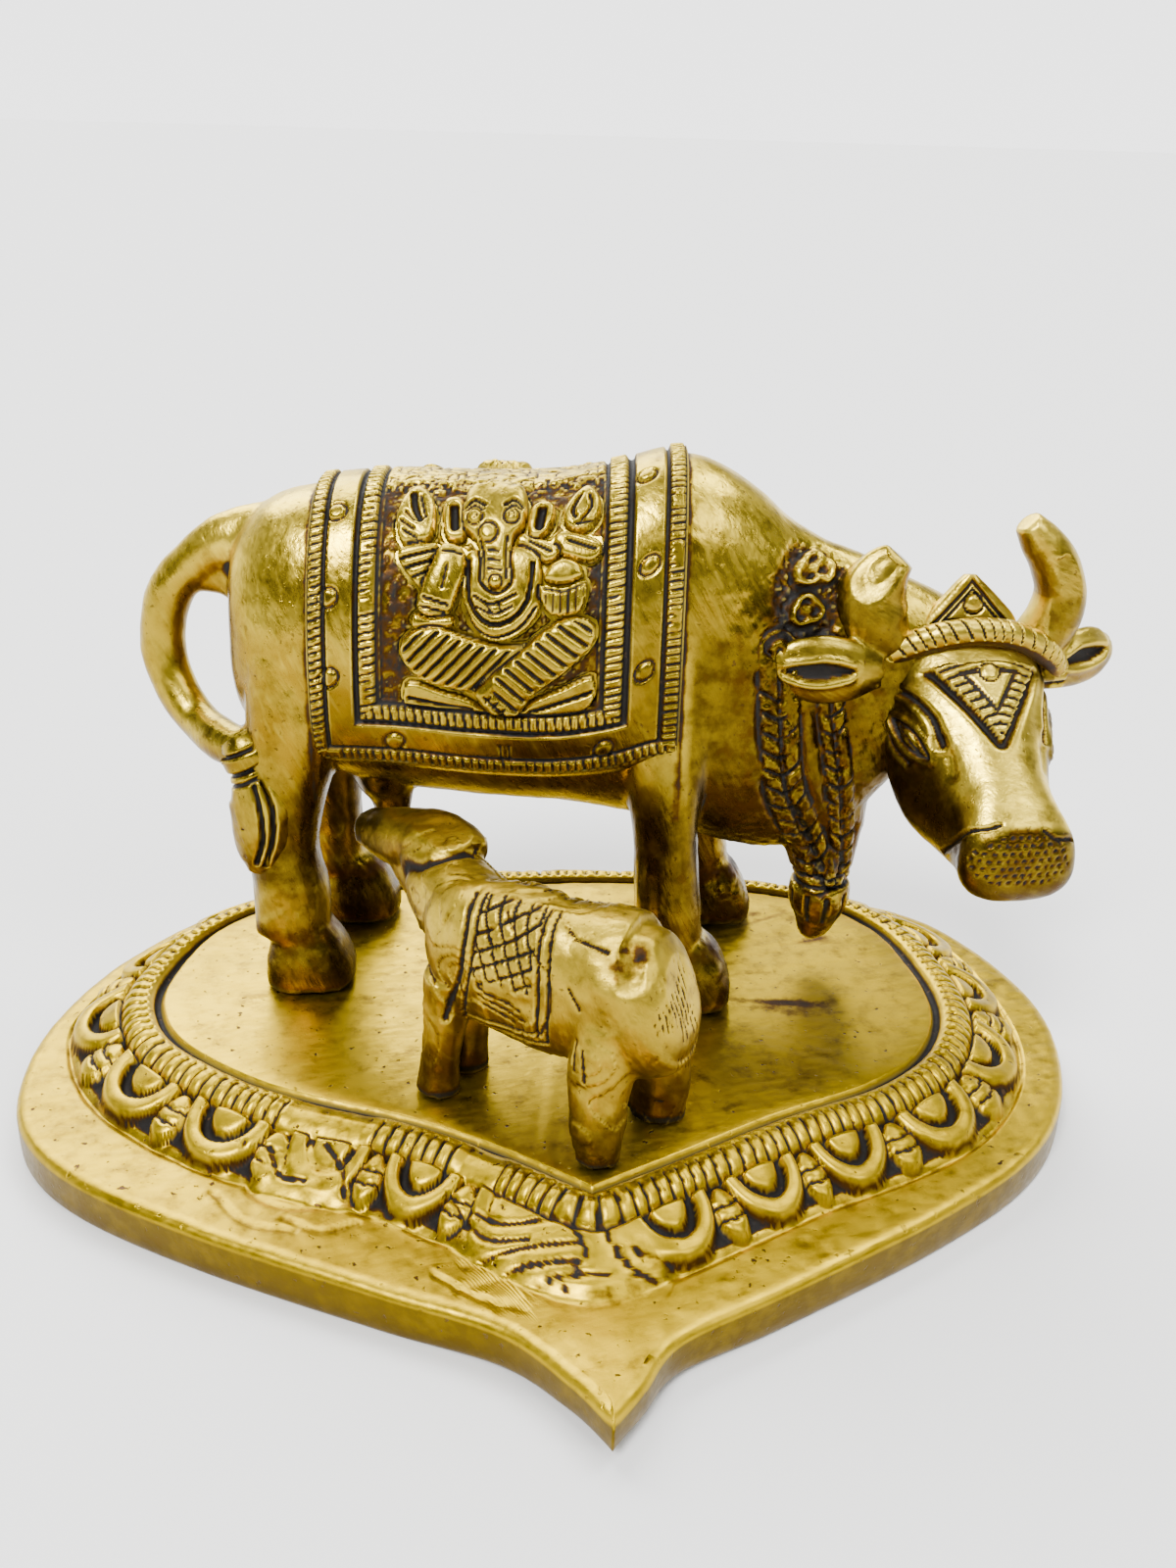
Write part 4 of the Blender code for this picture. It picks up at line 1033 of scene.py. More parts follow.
def clothRelief(x, v, own):
    left, right, down = x - cloth["back"], (cloth["front"] - x) * 0.88, hemAt(x) - v
    edge = np.minimum.reduce([left, right, down])
    along = np.where(down <= np.minimum(left, right), x, v)
    wander = 0.25 * np.sin(along * 1.3) + 0.15 * np.sin(along * 3.1)
    beat = (along + wander * 0.3 + 0.12 * edge) / cloth["tickPitch"] % 1
    ticks = ease(0.24, 0.06, np.abs(beat - 0.5)) * ease(-0.8, -0.2, grain(own + 17, 2.0))
    rough = grain(own, 0.5)
    height = 0.03 * grain(own, 1.1)
    dark = np.zeros(len(x))
    # outer ticked band, flat band, groove and inner ticked band, from the edge inwards
    for start, end in ((0.25, 1.75), (6.1, 7.9)):
        band = ease(start - 0.12, start + 0.12, edge) * ease(end + 0.12, end - 0.12, edge)
        height = height + band * (0.25 - 0.42 * ticks)
        dark = dark + band * 0.75 * ticks
    for at, wide, deep in ((0.1, 0.6, 0.3), (2.05, 0.5, 0.5), (5.75, 0.85, 0.6), (8.2, 0.7, 0.5)):
        height = cut(height, np.abs(edge - at), wide * 1.3, deep)
        stain = 0.95 - 0.35 * ease(-0.4, 0.5, grain(own + 41, 2.4))
        dark = dark + stain * ease(wide * 0.75, wide * 0.35, np.abs(edge - at))
    for centre in cloth["studs"]:
        height = stud(height, x, v, centre, 1.12)
    for shift in (-0.5, 0.5):
        d, _ = trail(x, v, [(-2.4 + shift, 37.4), (-2.2 + shift, 39.8)], reach=1.5)
        height = cut(height, d, 0.4, 0.4)
    # the panel with the figure, worn away towards the spine
    panel = ease(8.2, 8.7, edge)
    low, shade = figureRelief(x, v)
    carved = ease(3.2, 6.5, v + 1.0 * rough)
    scribble = ease(0.16, 0.03, np.abs(grain(own, 1.15))) + ease(0.14, 0.03, np.abs(grain(own + 31, 1.6)))
    worn = 0.02 - 0.14 * scribble + 0.10 * grain(own * (0.35, 1, 1), 0.8)
    height = height * (1 - panel) + panel * (low * carved + worn * (1 - carved))
    dark = dark * (1 - panel) + panel * (shade * carved + 0.25 * scribble * (1 - carved))
    return height, dark


def makeCloth():
    def place(u, t):
        x = cloth["back"] + (cloth["front"] - cloth["back"]) * np.clip((u - 0.012) / 0.976, 0, 1)
        s = np.clip((t * 2 - 1) / 0.988, -1, 1)
        under = np.minimum(np.minimum(u, 1 - u) / 0.012, np.minimum(t, 1 - t) / 0.006)
        swell = np.interp(under, [0, 1], [-0.8, cloth["thick"]])
        return clothPoint(x, s, swell) @ cowTurn.T + np.array(cowFrame.translation)

    sheetObject = sheet("saddleCloth", cloth["columns"], cloth["rows"], place)
    mesh = sheetObject.data
    points, normals = pointsOf(mesh), normalsOf(mesh)
    own = ownOf(points)
    x, _, z = own.T
    top, low, _ = trunkAt(x)
    tall = (top - low) / 2 + cloth["thick"]
    _, ringZ, run = sectionRun()
    up = np.clip((z - (top + low) / 2) / tall, -1, 1)
    v = tall * np.interp(-up, -ringZ, run)
    if normals[np.argmax(z)][2] < 0:
        mesh.flip_normals()
        normals = -normals
    height, dark = clothRelief(x, v, own)
    edge = np.minimum.reduce([x - cloth["back"], cloth["front"] - x, hemAt(x) - v])
    height = height * ease(0.0, 0.2, edge)
    setPoints(mesh, points + normals * height[:, None])
    # brown film, darker down the flank towards the hem as painted shade
    filmAndShade = 0.36 + 0.45 * ease(24, 40, v) + 0.22 * grain(own, 5.0)
    weathered(sheetObject, dark, 3, 18, fine=0.08, wide=0.35, filmAndShade=filmAndShade)
    finished(sheetObject, "cow", cowBrass)


makeCloth()


# Head, turned to face the tip of the leaf

headTurn = radians(4)
facing = Vector((sin(headTurn), -cos(headTurn), 0))
leftward = Vector((cos(headTurn), sin(headTurn), 0))
faceDown = (facing * 15.9 + Vector((0, 0, -16.5))).normalized()
faceOut = faceDown.cross(leftward)
faceOut = faceOut if faceOut.z > 0 else -faceOut
browPoint = Vector((49.0, 13.0, 57.0))

headPlan = {
    "skull": [(49.2, 19.4, 53.0, 4.4, 4.6), (49.3, 17.6, 51.0, 8.0, 8.4), (49.5, 15.0, 48.0, 9.8, 10.8),
              (49.8, 12.0, 45.2, 10.0, 11.4), (50.2, 8.6, 42.6, 9.2, 11.0), (50.7, 5.0, 40.4, 7.6, 9.6),
              (51.2, 1.4, 38.1, 6.3, 7.8), (51.6, -1.4, 36.6, 6.5, 6.6), (51.9, -3.0, 35.7, 7.0, 5.7),
              (52.1, -4.2, 35.2, 6.7, 5.0), (52.1, -5.0, 35.1, 5.7, 4.1), (52.1, -5.5, 35.1, 4.0, 2.8),
              (52.1, -5.7, 35.1, 1.6, 1.2)],
    "nearHorn": [(39.6, 15.2, 55.5, 3.4, 3.6), (37.3, 15.0, 58.4, 4.5, 4.3), (36.9, 14.8, 61.4, 4.4, 3.9),
                 (38.0, 14.4, 64.4, 3.3, 3.0), (39.6, 14.2, 66.4, 2.1, 2.0)],
    "farHorn": [(58.6, 16.2, 55.5, 3.2, 3.4), (60.2, 16.0, 58.6, 3.3, 3.4), (60.4, 15.8, 62.0, 3.1, 3.2),
                (58.8, 15.6, 65.6, 2.9, 2.9), (56.8, 15.6, 68.2, 2.4, 2.4), (55.0, 15.6, 70.2, 1.6, 1.8)],
    "nearEar": [(38.0, 12.6, 53.0, 1.6, 2.4), (34.4, 11.6, 53.1, 1.7, 3.8), (30.2, 11.2, 53.5, 1.6, 4.3),
                (26.6, 11.3, 54.2, 1.3, 3.2), (24.2, 11.6, 54.8, 0.7, 1.0)],
    "farEar": [(58.6, 14.8, 52.4, 1.6, 2.6), (62.4, 16.2, 52.6, 1.7, 3.5), (66.0, 17.8, 53.0, 1.7, 3.6),
               (68.2, 18.9, 53.5, 1.4, 2.8), (69.4, 19.7, 54.0, 0.8, 1.4)],
    "voxel": 0.3, "middle": 1.0,
    # punched dots: gap along a row, gap between rows, height of the lowest row
    "dots": (1.05, 0.92, 33.4),
    "triangle": [(-5.9, 3.2), (7.9, 3.2), (1.0, 13.8)],
    # flats left by the file on the horns: a point of each and its direction
    "flats": [((37.4, 11.9, 63.4), (-0.25, -0.80, 0.54)), ((55.2, 13.6, 69.6), (-0.55, -0.55, 0.62)),
              ((60.6, 12.9, 62.0), (0.15, -0.96, 0.1))],
}


def headRelief(points, normals):
    p = points - np.array(browPoint)
    a, b, n = (p @ np.array(axis) for axis in (leftward, faceDown, faceOut))
    x, y, z = points.T
    height = 0.10 * grain(points, 4.0) + 0.03 * grain(points, 1.2)
    dark = np.zeros(len(a))
    onSkull = (a > -11.5) & (a < 13.5)
    front = onSkull & (n > -4.2)
    mirrored = np.abs(a - headPlan["middle"])
    # forehead plaque: ladder borders on two sides, deep ditches outside, a stud in its top
    d = outline(a, b, headPlan["triangle"], smooth=False)
    lower = b > 3.9
    ladder = ease(0.26, 0.08, np.abs(((b * 0.93 - mirrored * 0.25) / 1.15) % 1 - 0.5))
    border = ease(-1.75, -1.6, d) * ease(0.0, -0.2, d) * lower
    inner = lower * ease(0.40, 0.15, np.abs(d + 1.95))
    form = 0.35 - border * 0.45 * ladder - 0.3 * inner
    height = np.where(front & (d < 0) & lower, height + form, height)
    ditch = np.exp(-((d - 0.5) / 0.55) ** 2) * ease(3.6, 4.6, b)
    height = np.where(front & (d >= 0), height - 0.95 * ditch, height)
    dark = np.where(front, dark + np.exp(-((d - 0.5) / 0.45) ** 2) * ease(3.6, 4.6, b)
                    + 0.75 * border * ladder + 0.75 * (d < -1) * inner, dark)
    r = np.hypot(a - 0.9, b - 5.3)
    inStud = ease(1.5, 1.35, r)
    groove = np.exp(-((r - 1.2) / 0.16) ** 2)
    studForm = 0.42 + 0.25 * np.sqrt(np.clip(1 - (r / 1.2) ** 2, 0, 1)) - 0.35 * groove
    height = np.where(front, height * (1 - inStud) + studForm * inStud, height)
    dark = np.where(front, dark * (1 - inStud) + 0.75 * groove * inStud, dark)
    # eyes on both cheeks, in (b, n)
    cheek = onSkull & (mirrored > 4.2) & (b > 2) & (b < 20)
    almond = [(7.9, -6.0), (9.3, -4.5), (11.2, -3.6), (14.2, -3.6), (12.4, -5.0), (10.2, -5.8)]
    d = outline(b, n, almond)
    lid = 0.5 * np.exp(-((d - 0.45) / 0.4) ** 2) - 0.5 * np.exp(-((d + 0.05) / 0.22) ** 2)
    ballForm = 0.45 * np.sqrt(np.clip(1 - ((b - 11.0) / 2.0) ** 2 - ((n + 4.7) / 0.9) ** 2, 0, 1))
    height = np.where(cheek, height + lid + ballForm, height)
    dark = np.where(cheek, dark + 0.9 * np.exp(-((d + 0.02) / 0.25) ** 2), dark)
    d, _ = trail(b, n, [(9.2, -5.3), (11.0, -4.6), (12.8, -4.3)], reach=2)
    height = np.where(cheek, cut(height, d, 0.4, 0.3), height)
    dark = np.where(cheek, dark + 0.6 * ease(0.3, 0.1, d), dark)
    for path, wide, deep in (([(4.4, -5.0), (6.6, -2.8), (9.8, -1.6), (13.2, -1.8)], 0.55, 0.5),
                             ([(8.2, -7.4), (10.8, -7.4), (13.6, -6.2)], 0.45, 0.4)):
        d, _ = trail(b, n, path, reach=2, steps=14)
        height = np.where(cheek, cut(height, d, wide * 1.4, deep), height)
        height = np.where(cheek, height + 0.25 * np.exp(-((d - wide - 0.25) / 0.35) ** 2), height)
        dark = np.where(cheek, dark + 0.8 * ease(wide * 0.8, wide * 0.25, d), dark)
    # creases where the bridge of the nose leaves the cheeks
    d, _ = trail(mirrored, b, [(6.3, 12.6), (5.9, 14.4), (5.7, 17.0)], reach=2, steps=8)
    height = np.where(front, height - 0.4 * np.exp(-(d / 0.6) ** 2), height)
    # muzzle: nostril slits and punched dots on a browned end
    end = ease(24.0, 25.2, b - 0.05 * (a - 1)) * onSkull * (y < 2.5)
    for path in ([(-5.4, 24.5), (-4.4, 24.1), (-2.6, 24.3), (-1.3, 24.1)],
                 [(4.0, 25.0), (5.6, 26.0), (8.0, 25.7)]):
        d, _ = trail(a, b, path, reach=2, steps=12)
        slit = onSkull * (y < 2.5) * ease(0.36, 0.1, d)
        height, dark = height - 0.55 * slit, dark + slit
    gap, rowGap, lowest = headPlan["dots"]
    row = np.round((z - lowest) / rowGap)
    swayA = a + 0.30 * grain(points, 1.6) + 0.5 * gap * (row % 2)
    dot = np.hypot((swayA / gap - np.round(swayA / gap)) * gap, z - lowest - row * rowGap)
    dotted = (np.hypot((a - 1.4) / 6.1, (z - 36.0) / 3.2) < 1) * onSkull * (y < 2.5) * ease(25.0, 25.6, b)
    height = height - dotted * 0.36 * ease(0.36, 0.12, dot)
    dark = dark + dotted * 0.9 * ease(0.36, 0.16, dot)
    filmAndShade = 0.95 * end + 0.12 * end * grain(points, 1.2)
    dark = dark + 0.16 * end * (1 + grain(points, 1.2))
    # brown film on the cheeks, jaw and the roots of horns and ears, and on downward faces; on the cheeks,
    # jaw and downward faces it is painted shade
    filmAndShade = np.maximum(filmAndShade, ease(3.2, 5.6, mirrored) * onSkull * ease(-0.5, -3.5, n))
    filmAndShade = np.maximum(filmAndShade, 0.75 * ease(6.0, 3.0, np.abs(z - 57.5)) * ((a < -8) | (a > 9.5)))
    filmAndShade = np.maximum(filmAndShade, 0.6 * (normals[:, 2] < -0.1))
    dark = dark + 0.12 * filmAndShade * grain(points, 1.8)
    for place, direction in headPlan["flats"]:
        beyond = (points - np.array(place)) @ np.array(direction)
        nearBy = np.linalg.norm(points - np.array(place), axis=1) < 5
        height = np.where(nearBy, height - np.clip(beyond, 0, 0.8), height)
    # the folded hollow of each ear, darkened along its slit as painted shade
    for start, end, rise in ((25.2, 35.0, 53.5), (61.6, 69.0, 53.0)):
        t = np.clip((x - start) / (end - start), 0, 1)
        half = 1.15 * np.sin(pi * t) ** 0.8 * (1 + 0.18 * grain(points, 2.2))
        level = z - rise - 0.10 * (x - start) * (start > 50)
        ear = (x > start - 1) & (x < end + 0.5) & (normals[:, 1] < 0.25) & (np.abs(level) < 5)
        if start < 50:
            ear = ear & (z < 58.5) & (a < -11.6)
        inside = ease(half + 0.2, half - 0.4, np.abs(level)) * ease(0.0, 0.08, t) * ease(1.0, 0.92, t)
        height = np.where(ear, height - inside, height)
        fold = np.exp(-((np.abs(level) - half - 0.55) / 0.4) ** 2) * ease(0.0, 0.1, t) * ease(1.0, 0.9, t)
        height = np.where(ear, height + 0.25 * fold, height)
        slit = ease(0.75, 0.2, np.abs(level + 0.15) / (half + 0.05))
        slit = slit * ease(0.08, 0.3, t) * ease(0.95, 0.75, t)
        dark = np.where(ear, dark + inside * (0.25 + 0.75 * slit) * (1 + 0.4 * grain(points, 0.9)), dark)
        filmAndShade = np.where(ear, 0.45 + 0.25 * grain(points, 2.0), filmAndShade)
    filmAndShade = np.maximum(filmAndShade, 0.55 * (a < -7.5) * ease(59.5, 61.0, z) * (1 + 0.4 * grain(points, 2.0)))
    filmAndShade = np.maximum(filmAndShade, 0.35 * (a > 9.5) * ease(59.5, 61.0, z) * ease(76, 70, z))
    return height, dark, filmAndShade


def makeHead():
    bm = bmesh.new()
    tube(bm, headPlan["skull"], leftward, sides=48, rows=60, square=2.5, egg=0.06, aim=facing)
    for key in ("nearHorn", "farHorn"):
        tube(bm, headPlan[key], (1, 0, 0), sides=24, rows=40)
    for key in ("nearEar", "farEar"):
        tube(bm, headPlan[key], (0, 1, 0), sides=24, rows=40)
    head = fused("cowHead", bm, headPlan["voxel"], 4)
    points, normals = pointsOf(head.data), normalsOf(head.data)
    height, dark, filmAndShade = headRelief(points, normals)
    setPoints(head.data, points + normals * height[:, None])
    weathered(head, dark, 3, 26, fine=0.10, wide=0.5, filmAndShade=filmAndShade)
    finished(head, "cow", headBrass)


makeHead()


# Headband and crown plate

crown = {
    "band": [(37.5, 14.6, 53.0, 1.6, 1.7), (40.6, 13.2, 55.3, 1.7, 1.8), (45.0, 12.2, 57.2, 1.7, 1.8),
             (49.6, 11.9, 57.9, 1.7, 1.8), (54.4, 12.4, 57.1, 1.7, 1.8), (58.8, 13.6, 54.8, 1.7, 1.7),
             (61.2, 15.2, 52.2, 1.6, 1.6)],
    "ticks": 22,
    "plate": [(49.0, 14.2, 56.4, 6.6, 1.8), (48.9, 14.4, 58.8, 5.6, 1.5), (48.8, 14.6, 60.8, 3.9, 1.3),
              (48.7, 14.8, 62.8, 2.0, 1.1), (48.7, 15.0, 64.0, 0.7, 0.8)],
}


def makeCrown():
    bm = bmesh.new()
    tube(bm, crown["band"], (0, 0.6, 0.8), sides=56, rows=420)
    band = newObject("headBand", bm)
    points, normals = pointsOf(band.data), normalsOf(band.data)
    path = curve(crown["band"], np.linspace(0, 1, 200))[:, :3]
    near = ((points[:, None, :] - path[None, :, :]) ** 2).sum(2).argmin(1)
    off = points - path[near]
    across = off @ np.array((0.0, 0.6, 0.8))
    swing = 0.25 * np.sin(near * 0.11) + 0.22 * across
    ticks = ease(0.15, 0.05, np.abs((near / 200 * crown["ticks"] + swing) % 1 - 0.5))
    inner = ease(1.45, 1.3, np.abs(across))
    height = -0.35 * ticks * inner + 0.05 * grain(points, 1.4)
    setPoints(band.data, points + normals * height[:, None])
    dark = 0.85 * ticks * inner + 0.7 * ease(1.3, 1.6, np.abs(across))
    weathered(band, dark, 3, 16, fine=0.08, wide=0.35)
    finished(band, "cow", headBrass)

    bm = bmesh.new()
    tube(bm, crown["plate"], (1, 0, 0), sides=160, rows=110, square=3)
    plate = newObject("crownPlate", bm)
    points, normals = pointsOf(plate.data), normalsOf(plate.data)
    x, _, z = points.T
    d = outline(x, z, [(42.6, 57.6), (55.2, 57.6), (48.7, 64.6)], smooth=False)
    height = -0.4 * ease(0.3, 0.08, np.abs(d + 0.75)) - 0.35 * ease(0.25, 0.08, np.abs(d + 1.35))
    r = np.hypot(x - 49.0, z - 60.9)
    height = height - 0.4 * np.exp(-((r - 1.2) / 0.16) ** 2)
    height = height + 0.35 * np.sqrt(np.clip(1 - (r / 1.2) ** 2, 0, 1))
    dark = (0.8 * ease(0.25, 0.1, np.abs(d + 0.75)) + 0.8 * ease(0.25, 0.1, np.abs(d + 1.35))
            + 0.7 * np.exp(-((r - 1.2) / 0.16) ** 2) + 0.5 * ease(58.6, 57.8, z))
    setPoints(plate.data, points + normals * height[:, None])
    weathered(plate, dark, 3, 16, fine=0.08, wide=0.35)
    finished(plate, "cow", headBrass)


makeCrown()


# Tail tuft with its knot

tuftPlan = {
    "shell": [(-34.6, -9.8, 43.2, 2.4, 2.3), (-33.4, -10.6, 41.6, 3.4, 2.8),
              (-33.0, -11.0, 39.6, 2.8, 2.5), (-31.8, -11.6, 36.2, 4.1, 2.9),
              (-31.9, -11.7, 32.2, 3.8, 2.9), (-32.4, -11.6, 28.6, 2.9, 2.3),
              (-32.9, -11.5, 26.4, 1.4, 1.3)],
    "locks": [[(-32.2, 38.6), (-31.5, 35.3), (-31.5, 31.6), (-32.6, 28.2)],
              [(-31.2, 39.2), (-30.1, 35.9), (-30.2, 31.9), (-31.5, 27.8)]],
}


def makeTuft():
    bm = bmesh.new()
    tube(bm, tuftPlan["shell"], (1, 0, 0), sides=110, rows=120, place=cowFrame)
    tuft = newObject("tailTuft", bm)
    points, normals = pointsOf(tuft.data), normalsOf(tuft.data)
    x, _, z = ownOf(points).T
    height = 0.10 * grain(points, 2.6) + 0.05 * grain(points, 0.8)
    dark = np.zeros(len(x))
    for path in tuftPlan["locks"]:
        d, _ = trail(x, z, path, reach=2, steps=20)
        height = cut(height, d, 0.9, 0.75)
        dark = dark + 0.9 * ease(0.5, 0.2, d)
    dots = ease(0.62, 0.72, grain(points, 0.75)) * (x < -33) * (z < 36)
    height, dark = height - 0.2 * dots, dark + 0.5 * dots
    level = (z - 41.4 - 0.45 * (x + 33.2)) / 1.1
    height = height + 0.25 * ease(1.1, 0.6, np.abs(level))
    for ring in (1.25, -1.15, -2.3):
        d = np.abs(level - ring)
        height = cut(height, d, 0.7, 0.5)
        dark = dark + 0.85 * ease(0.4, 0.15, d)
    setPoints(tuft.data, points + normals * height[:, None])
    weathered(tuft, dark, 3, 16, fine=0.10, wide=0.4, filmAndShade=0.6)
    finished(tuft, "cow", cowBrass)


makeTuft()


# Calf, standing across the leaf with its nose at the udder

calfAhead = Vector((-0.85, 0.527, 0)).normalized()
calfLeft = Vector((-calfAhead.y, calfAhead.x, 0))
calfPlan = {
    "rump": (7.6, -19.0, 0), "voxel": 0.28, "floor": 9.8,
    # in (x, z) of the calf's frame
    "strokes": [[(13.4, 36.4), (10.4, 34.6)], [(11.0, 36.6), (7.4, 35.2)],
                [(9.0, 36.6), (5.4, 35.8)], [(7.2, 35.0), (3.4, 34.8)],
                [(11.8, 33.2), (9.4, 31.4)], [(18.0, 26.8), (12.6, 25.6)],
                [(17.8, 25.8), (12.0, 24.4)], [(17.4, 24.9), (13.4, 23.6)],
                [(9.4, 32.6), (8.8, 27.4), (10.0, 23.6)], [(5.6, 24.4), (5.2, 21.4)],
                [(4.4, 24.0), (3.8, 20.6)], [(6.8, 30.2), (5.4, 28.2)],
                [(16.2, 36.2), (14.6, 34.4)], [(20.6, 27.0), (19.6, 23.6)]],
}
calfTurn = Matrix((calfAhead, calfLeft, (0, 0, 1))).transposed()
calfFrame = Matrix.Translation(calfPlan["rump"]) @ calfTurn.to_4x4()
calfBack = np.array(calfFrame.inverted())


def calfRelief(points, normals):
    own = points @ calfBack[:3, :3].T + calfBack[:3, 3]
    x, y, z = own.T
    height = 0.26 * grain(points, 4.6) + 0.08 * grain(points, 1.4)
    dark = np.zeros(len(x))
    flank = ease(0.5, 3.0, np.abs(y)) * ease(12.0, 14.0, z)
    # collar lines and the cross-hatched cloth between them and the double edge line
    for path, wide, deep in (([(20.6, 37.5), (19.8, 31), (22.4, 21)], 0.7, 0.5),
                             ([(19.2, 37.5), (18.6, 31), (20.6, 21)], 0.5, 0.45),
                             ([(11.4, 37.5), (10.4, 31), (10.6, 22.6)], 0.5, 0.45),
                             ([(10.2, 37.5), (9.2, 31), (9.4, 22.2)], 0.4, 0.4),
                             ([(10.2, 23.4), (14.6, 22.4), (20.6, 22.2)], 0.5, 0.45),
                             ([(9.6, 22.2), (14.6, 21.2), (20.8, 21.0)], 0.4, 0.4)):
        d, _ = trail(x, z, path, reach=2, steps=14)
        height = height - flank * deep * ease(wide * 0.7, wide * 0.15, d)
        dark = dark + flank * 0.4 * ease(wide * 0.8, wide * 0.2, d)
    rough = grain(points, 0.9)
    inCloth = flank * ease(11.0, 11.5, x + 0.3 * rough) * ease(18.9, 18.5, x) * ease(27.0, 28.2, z + rough)
    inCloth = inCloth * ease(37.2, 36.4, z)
    for ax, az, pitch in ((0.915, -0.403, 1.55), (0.53, 0.848, 1.75)):
        wave = (ax * x + az * z) / pitch + 0.16 * grain(points, 3.0)
        line = ease(0.17, 0.04, np.abs(wave % 1 - 0.5)) * ease(-0.9, -0.3, grain(points + 12, 2.0))
        height = height - inCloth * 0.42 * line
        dark = dark + inCloth * 0.85 * line
    # file strokes over the back, the thigh and below the cross-hatching
    for path in calfPlan["strokes"]:
        d, _ = trail(x, z, path, reach=2, steps=8)
        line = flank * ease(0.24, 0.05, d + 0.08 * rough) * ease(0.9, 0.7, normals[:, 2])
        height, dark = height - 0.2 * line, dark + 0.5 * line
    # the hammered hollow above the tail, darkened inside and most in its upper corner as painted shade
    r = np.hypot(np.hypot((x - 1.3) / 3.8, (y - 4.7) / 3.6), (z - 33.8) / 3.4)
    hollow = ease(1.1, 0.3, r)
    height = height - hollow * (0.7 + 0.16 * grain(points, 0.9))
    corner = np.exp(-((x - 0.2) / 1.2) ** 2 - ((y - 2.6) / 1.1) ** 2) * (z > 30)
    dark = dark + hollow * (0.22 + 0.35 * ease(0.0, 0.5, grain(points, 0.8))) + 0.6 * corner
    # scratches down the rump
    rump = ease(-1.0, -3.0, x)
    strokes = ease(0.22, 0.05, np.abs((y / 0.7 + 0.6 * grain(points, 2.5)) % 1 - 0.5))
    strokes = strokes * ease(-0.1, 0.3, grain(points, 1.5))
    height, dark = height - rump * 0.12 * strokes, dark + 0.35 * rump * strokes
    # flats left by the file
    height = height + 0.16 * np.round(2.2 * grain(points + 40, 4.5)) * ease(-0.1, 0.2, grain(points, 9.0))
    # head: a filed flat on its crown, a crease behind it, and a browned muzzle
    beyond = (points - np.array((-15.8, 3.5, 36.7))) @ np.array((-0.10, -0.22, 0.97))
    onHead = ease(-1.6, -0.6, points[:, 1]) * (z > 32) * (x > 25.5)
    height = height - onHead * np.clip(beyond, 0, 1.4)
    d, _ = trail(points[:, 0], points[:, 1], [(-19.6, 3.0), (-18.2, 1.0), (-16.4, -0.9), (-14.4, -1.3),
                                              (-12.4, -0.9), (-10.6, 0.4)], reach=3, steps=16)
    crease = (z > 30) * np.exp(-(d / 0.5) ** 2)
    height, dark = height - 0.5 * crease, dark + 0.95 * crease
    # brown film on the muzzle, and painted shade low on the legs, on downward faces and in the hollow
    filmAndShade = np.maximum(0.9 * ease(21.0, 14.0, z), 0.8 * ease(-19.5, -22.0, points[:, 0]))
    filmAndShade = np.maximum(filmAndShade, 0.75 * ease(0.3, -0.4, normals[:, 2]) * (x > 18))
    filmAndShade = np.maximum(filmAndShade, 0.6 * ease(0.1, -0.5, normals[:, 2]))
    filmAndShade = np.maximum(filmAndShade, 0.75 * hollow)
    filmAndShade = np.maximum(filmAndShade, 0.36 + 0.2 * grain(points, 3.0))
    # darker low down in blotches, and painted contact shade where the feet meet the base
    dark = dark + 0.3 * ease(18.5, 12.5, z) * ease(-0.5, 0.4, grain(points, 2.4))
    dark = dark + 0.9 * ease(11.3, 10.1, z)
    return height, dark, filmAndShade


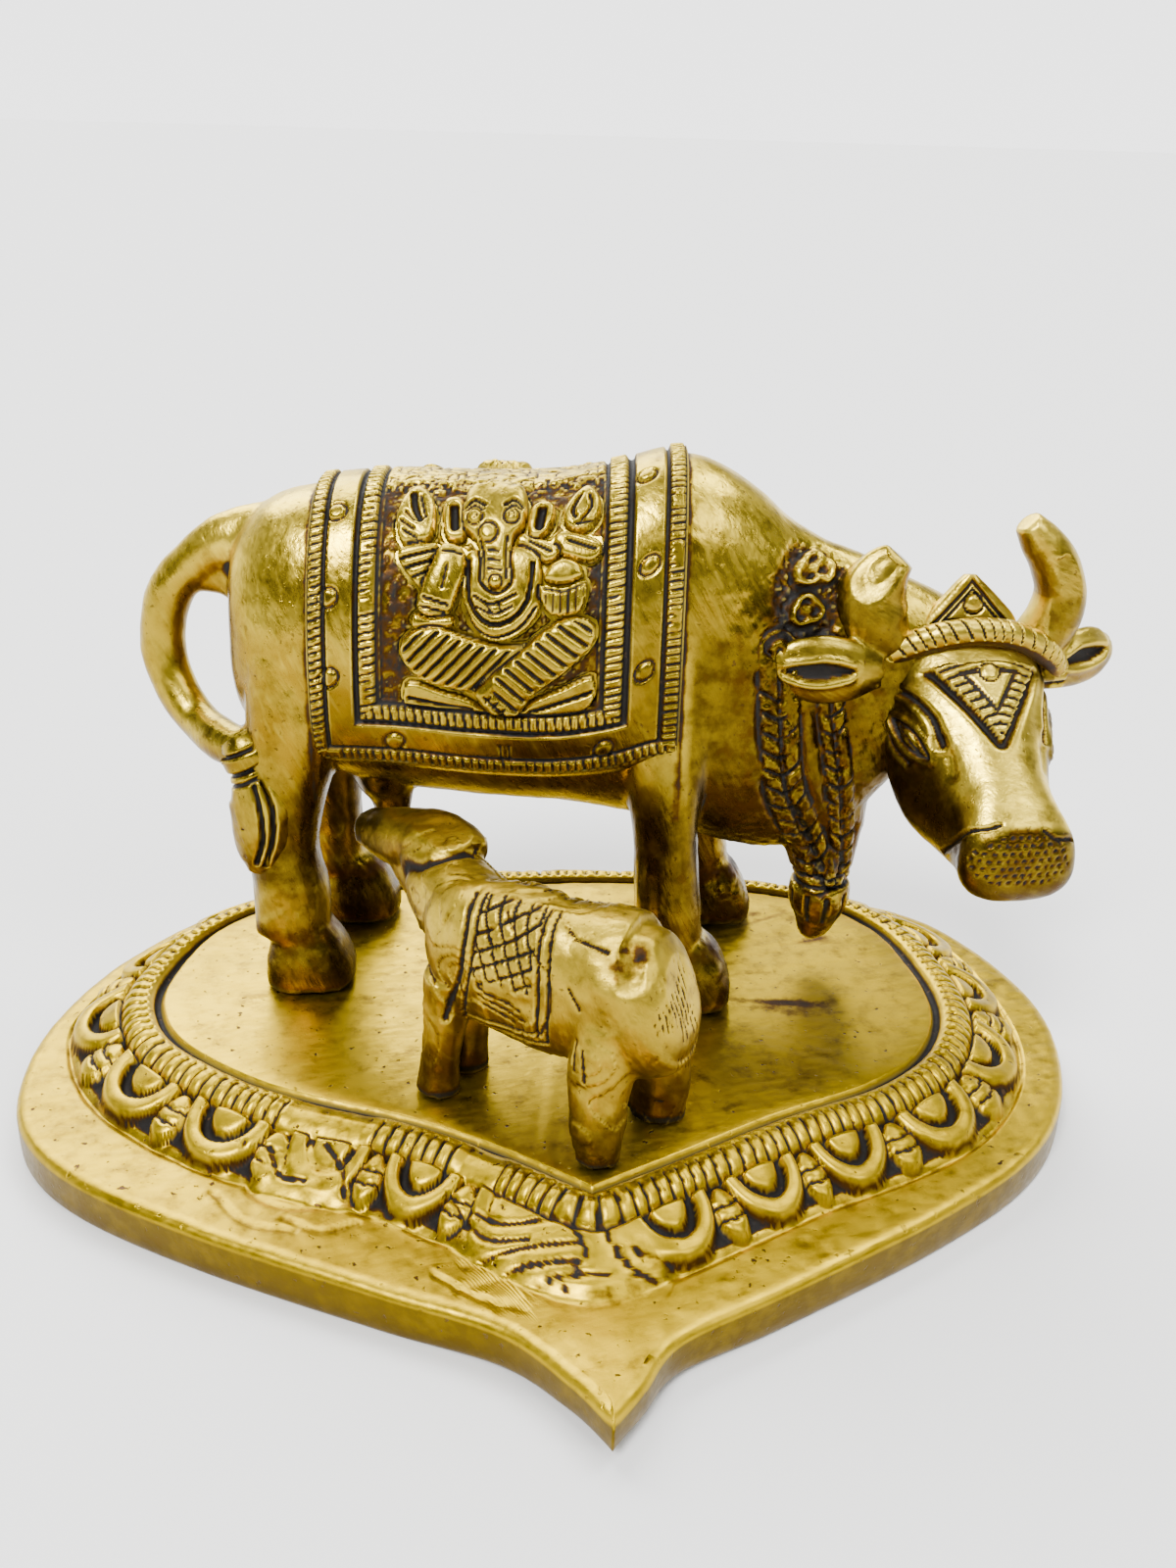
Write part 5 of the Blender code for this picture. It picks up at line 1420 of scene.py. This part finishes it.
def makeCalf():
    bm = bmesh.new()
    tube(bm, [(-3.4, 0, 29.2, 3.2, 4.4), (-2.2, 0, 28.8, 5.4, 7.0), (1, 0, 27.8, 6.7, 9.0),
              (8, 0, 27.5, 6.4, 9.2), (16, 0, 27.8, 6.1, 8.8), (21, 0, 27.9, 5.7, 8.3),
              (24.6, 0, 28.0, 4.3, 6.8), (26.6, 0, 27.8, 2.4, 4.2)],
         (0, 1, 0), sides=40, rows=50, square=2.3, place=calfFrame)
    tube(bm, [(-9.4, -6.4, 29.0, 5.4, 7.4), (-11.6, -3.2, 30.4, 5.4, 5.7), (-13.6, 1.0, 31.4, 5.2, 4.4),
              (-14.6, 4.2, 32.6, 4.8, 3.7), (-15.2, 6.4, 33.2, 4.4, 3.3)], (1, 0, 0), sides=28, rows=24)
    tube(bm, [(-11.4, 1.2, 34.0, 2.4, 2.0), (-12.0, 2.0, 34.2, 3.9, 3.0), (-14.2, 5.0, 34.0, 4.3, 3.6),
              (-17.4, 8.6, 33.3, 4.0, 3.7), (-20.6, 11.8, 32.6, 3.2, 3.2), (-23.4, 14.4, 32.4, 2.3, 2.2)],
         (0.73, 0.68, 0), sides=28, rows=24, square=2.3)
    tube(bm, [(-18.2, 9.0, 31.6, 2.8, 2.6), (-15.7, 5.6, 29.4, 3.6, 3.6), (-12.8, 1.6, 26.8, 4.0, 4.2),
              (-10.6, -2.0, 24.6, 4.2, 4.6)], (1, 0, 0), sides=28, rows=20)
    floor = calfPlan["floor"]
    hind = [[(0.5, -3.6, 26, 4.2, 3.4), (0.8, -4.6, 19.6, 3.9, 3.2), (1.0, -5.2, 14, 3.6, 3.1),
             (1.2, -5.4, floor, 3.4, 3.0)],
            [(3.0, 3.6, 26, 4.2, 3.4), (3.4, 4.8, 19.6, 3.7, 3.1), (3.2, 5.6, 14, 2.9, 2.7),
             (2.8, 6.0, floor, 2.3, 2.3)]]
    for stations in hind:
        tube(bm, stations, (1, 0, 0), sides=20, rows=20, place=calfFrame)
    for side in (-1, 1):
        tube(bm, [(23, 2.6 * side, 25, 3.2, 3.0), (24, 2.9 * side, 18, 2.4, 2.3),
                  (24.6, 3.0 * side, 13, 2.3, 2.2), (24.8, 3.1 * side, floor, 2.5, 2.4)],
             (1, 0, 0), sides=20, rows=20, place=calfFrame)
        tube(bm, [(-13.2 + 2.0 * side, 4.0 + 1.9 * side, 34.4, 1.2, 1.8),
                  (-12.4 + 3.2 * side, 2.8 + 3.0 * side, 33.8, 1.0, 1.7)], (1, 0, 0), sides=14, rows=8)
    calf = fused("calfCasting", bm, calfPlan["voxel"], 4)
    points, normals = pointsOf(calf.data), normalsOf(calf.data)
    height, dark, filmAndShade = calfRelief(points, normals)
    setPoints(calf.data, points + normals * height[:, None])
    weathered(calf, dark, 3, 26, fine=0.10, wide=0.5, filmAndShade=filmAndShade)
    finished(calf, "calf", calfBrass)


makeCalf()
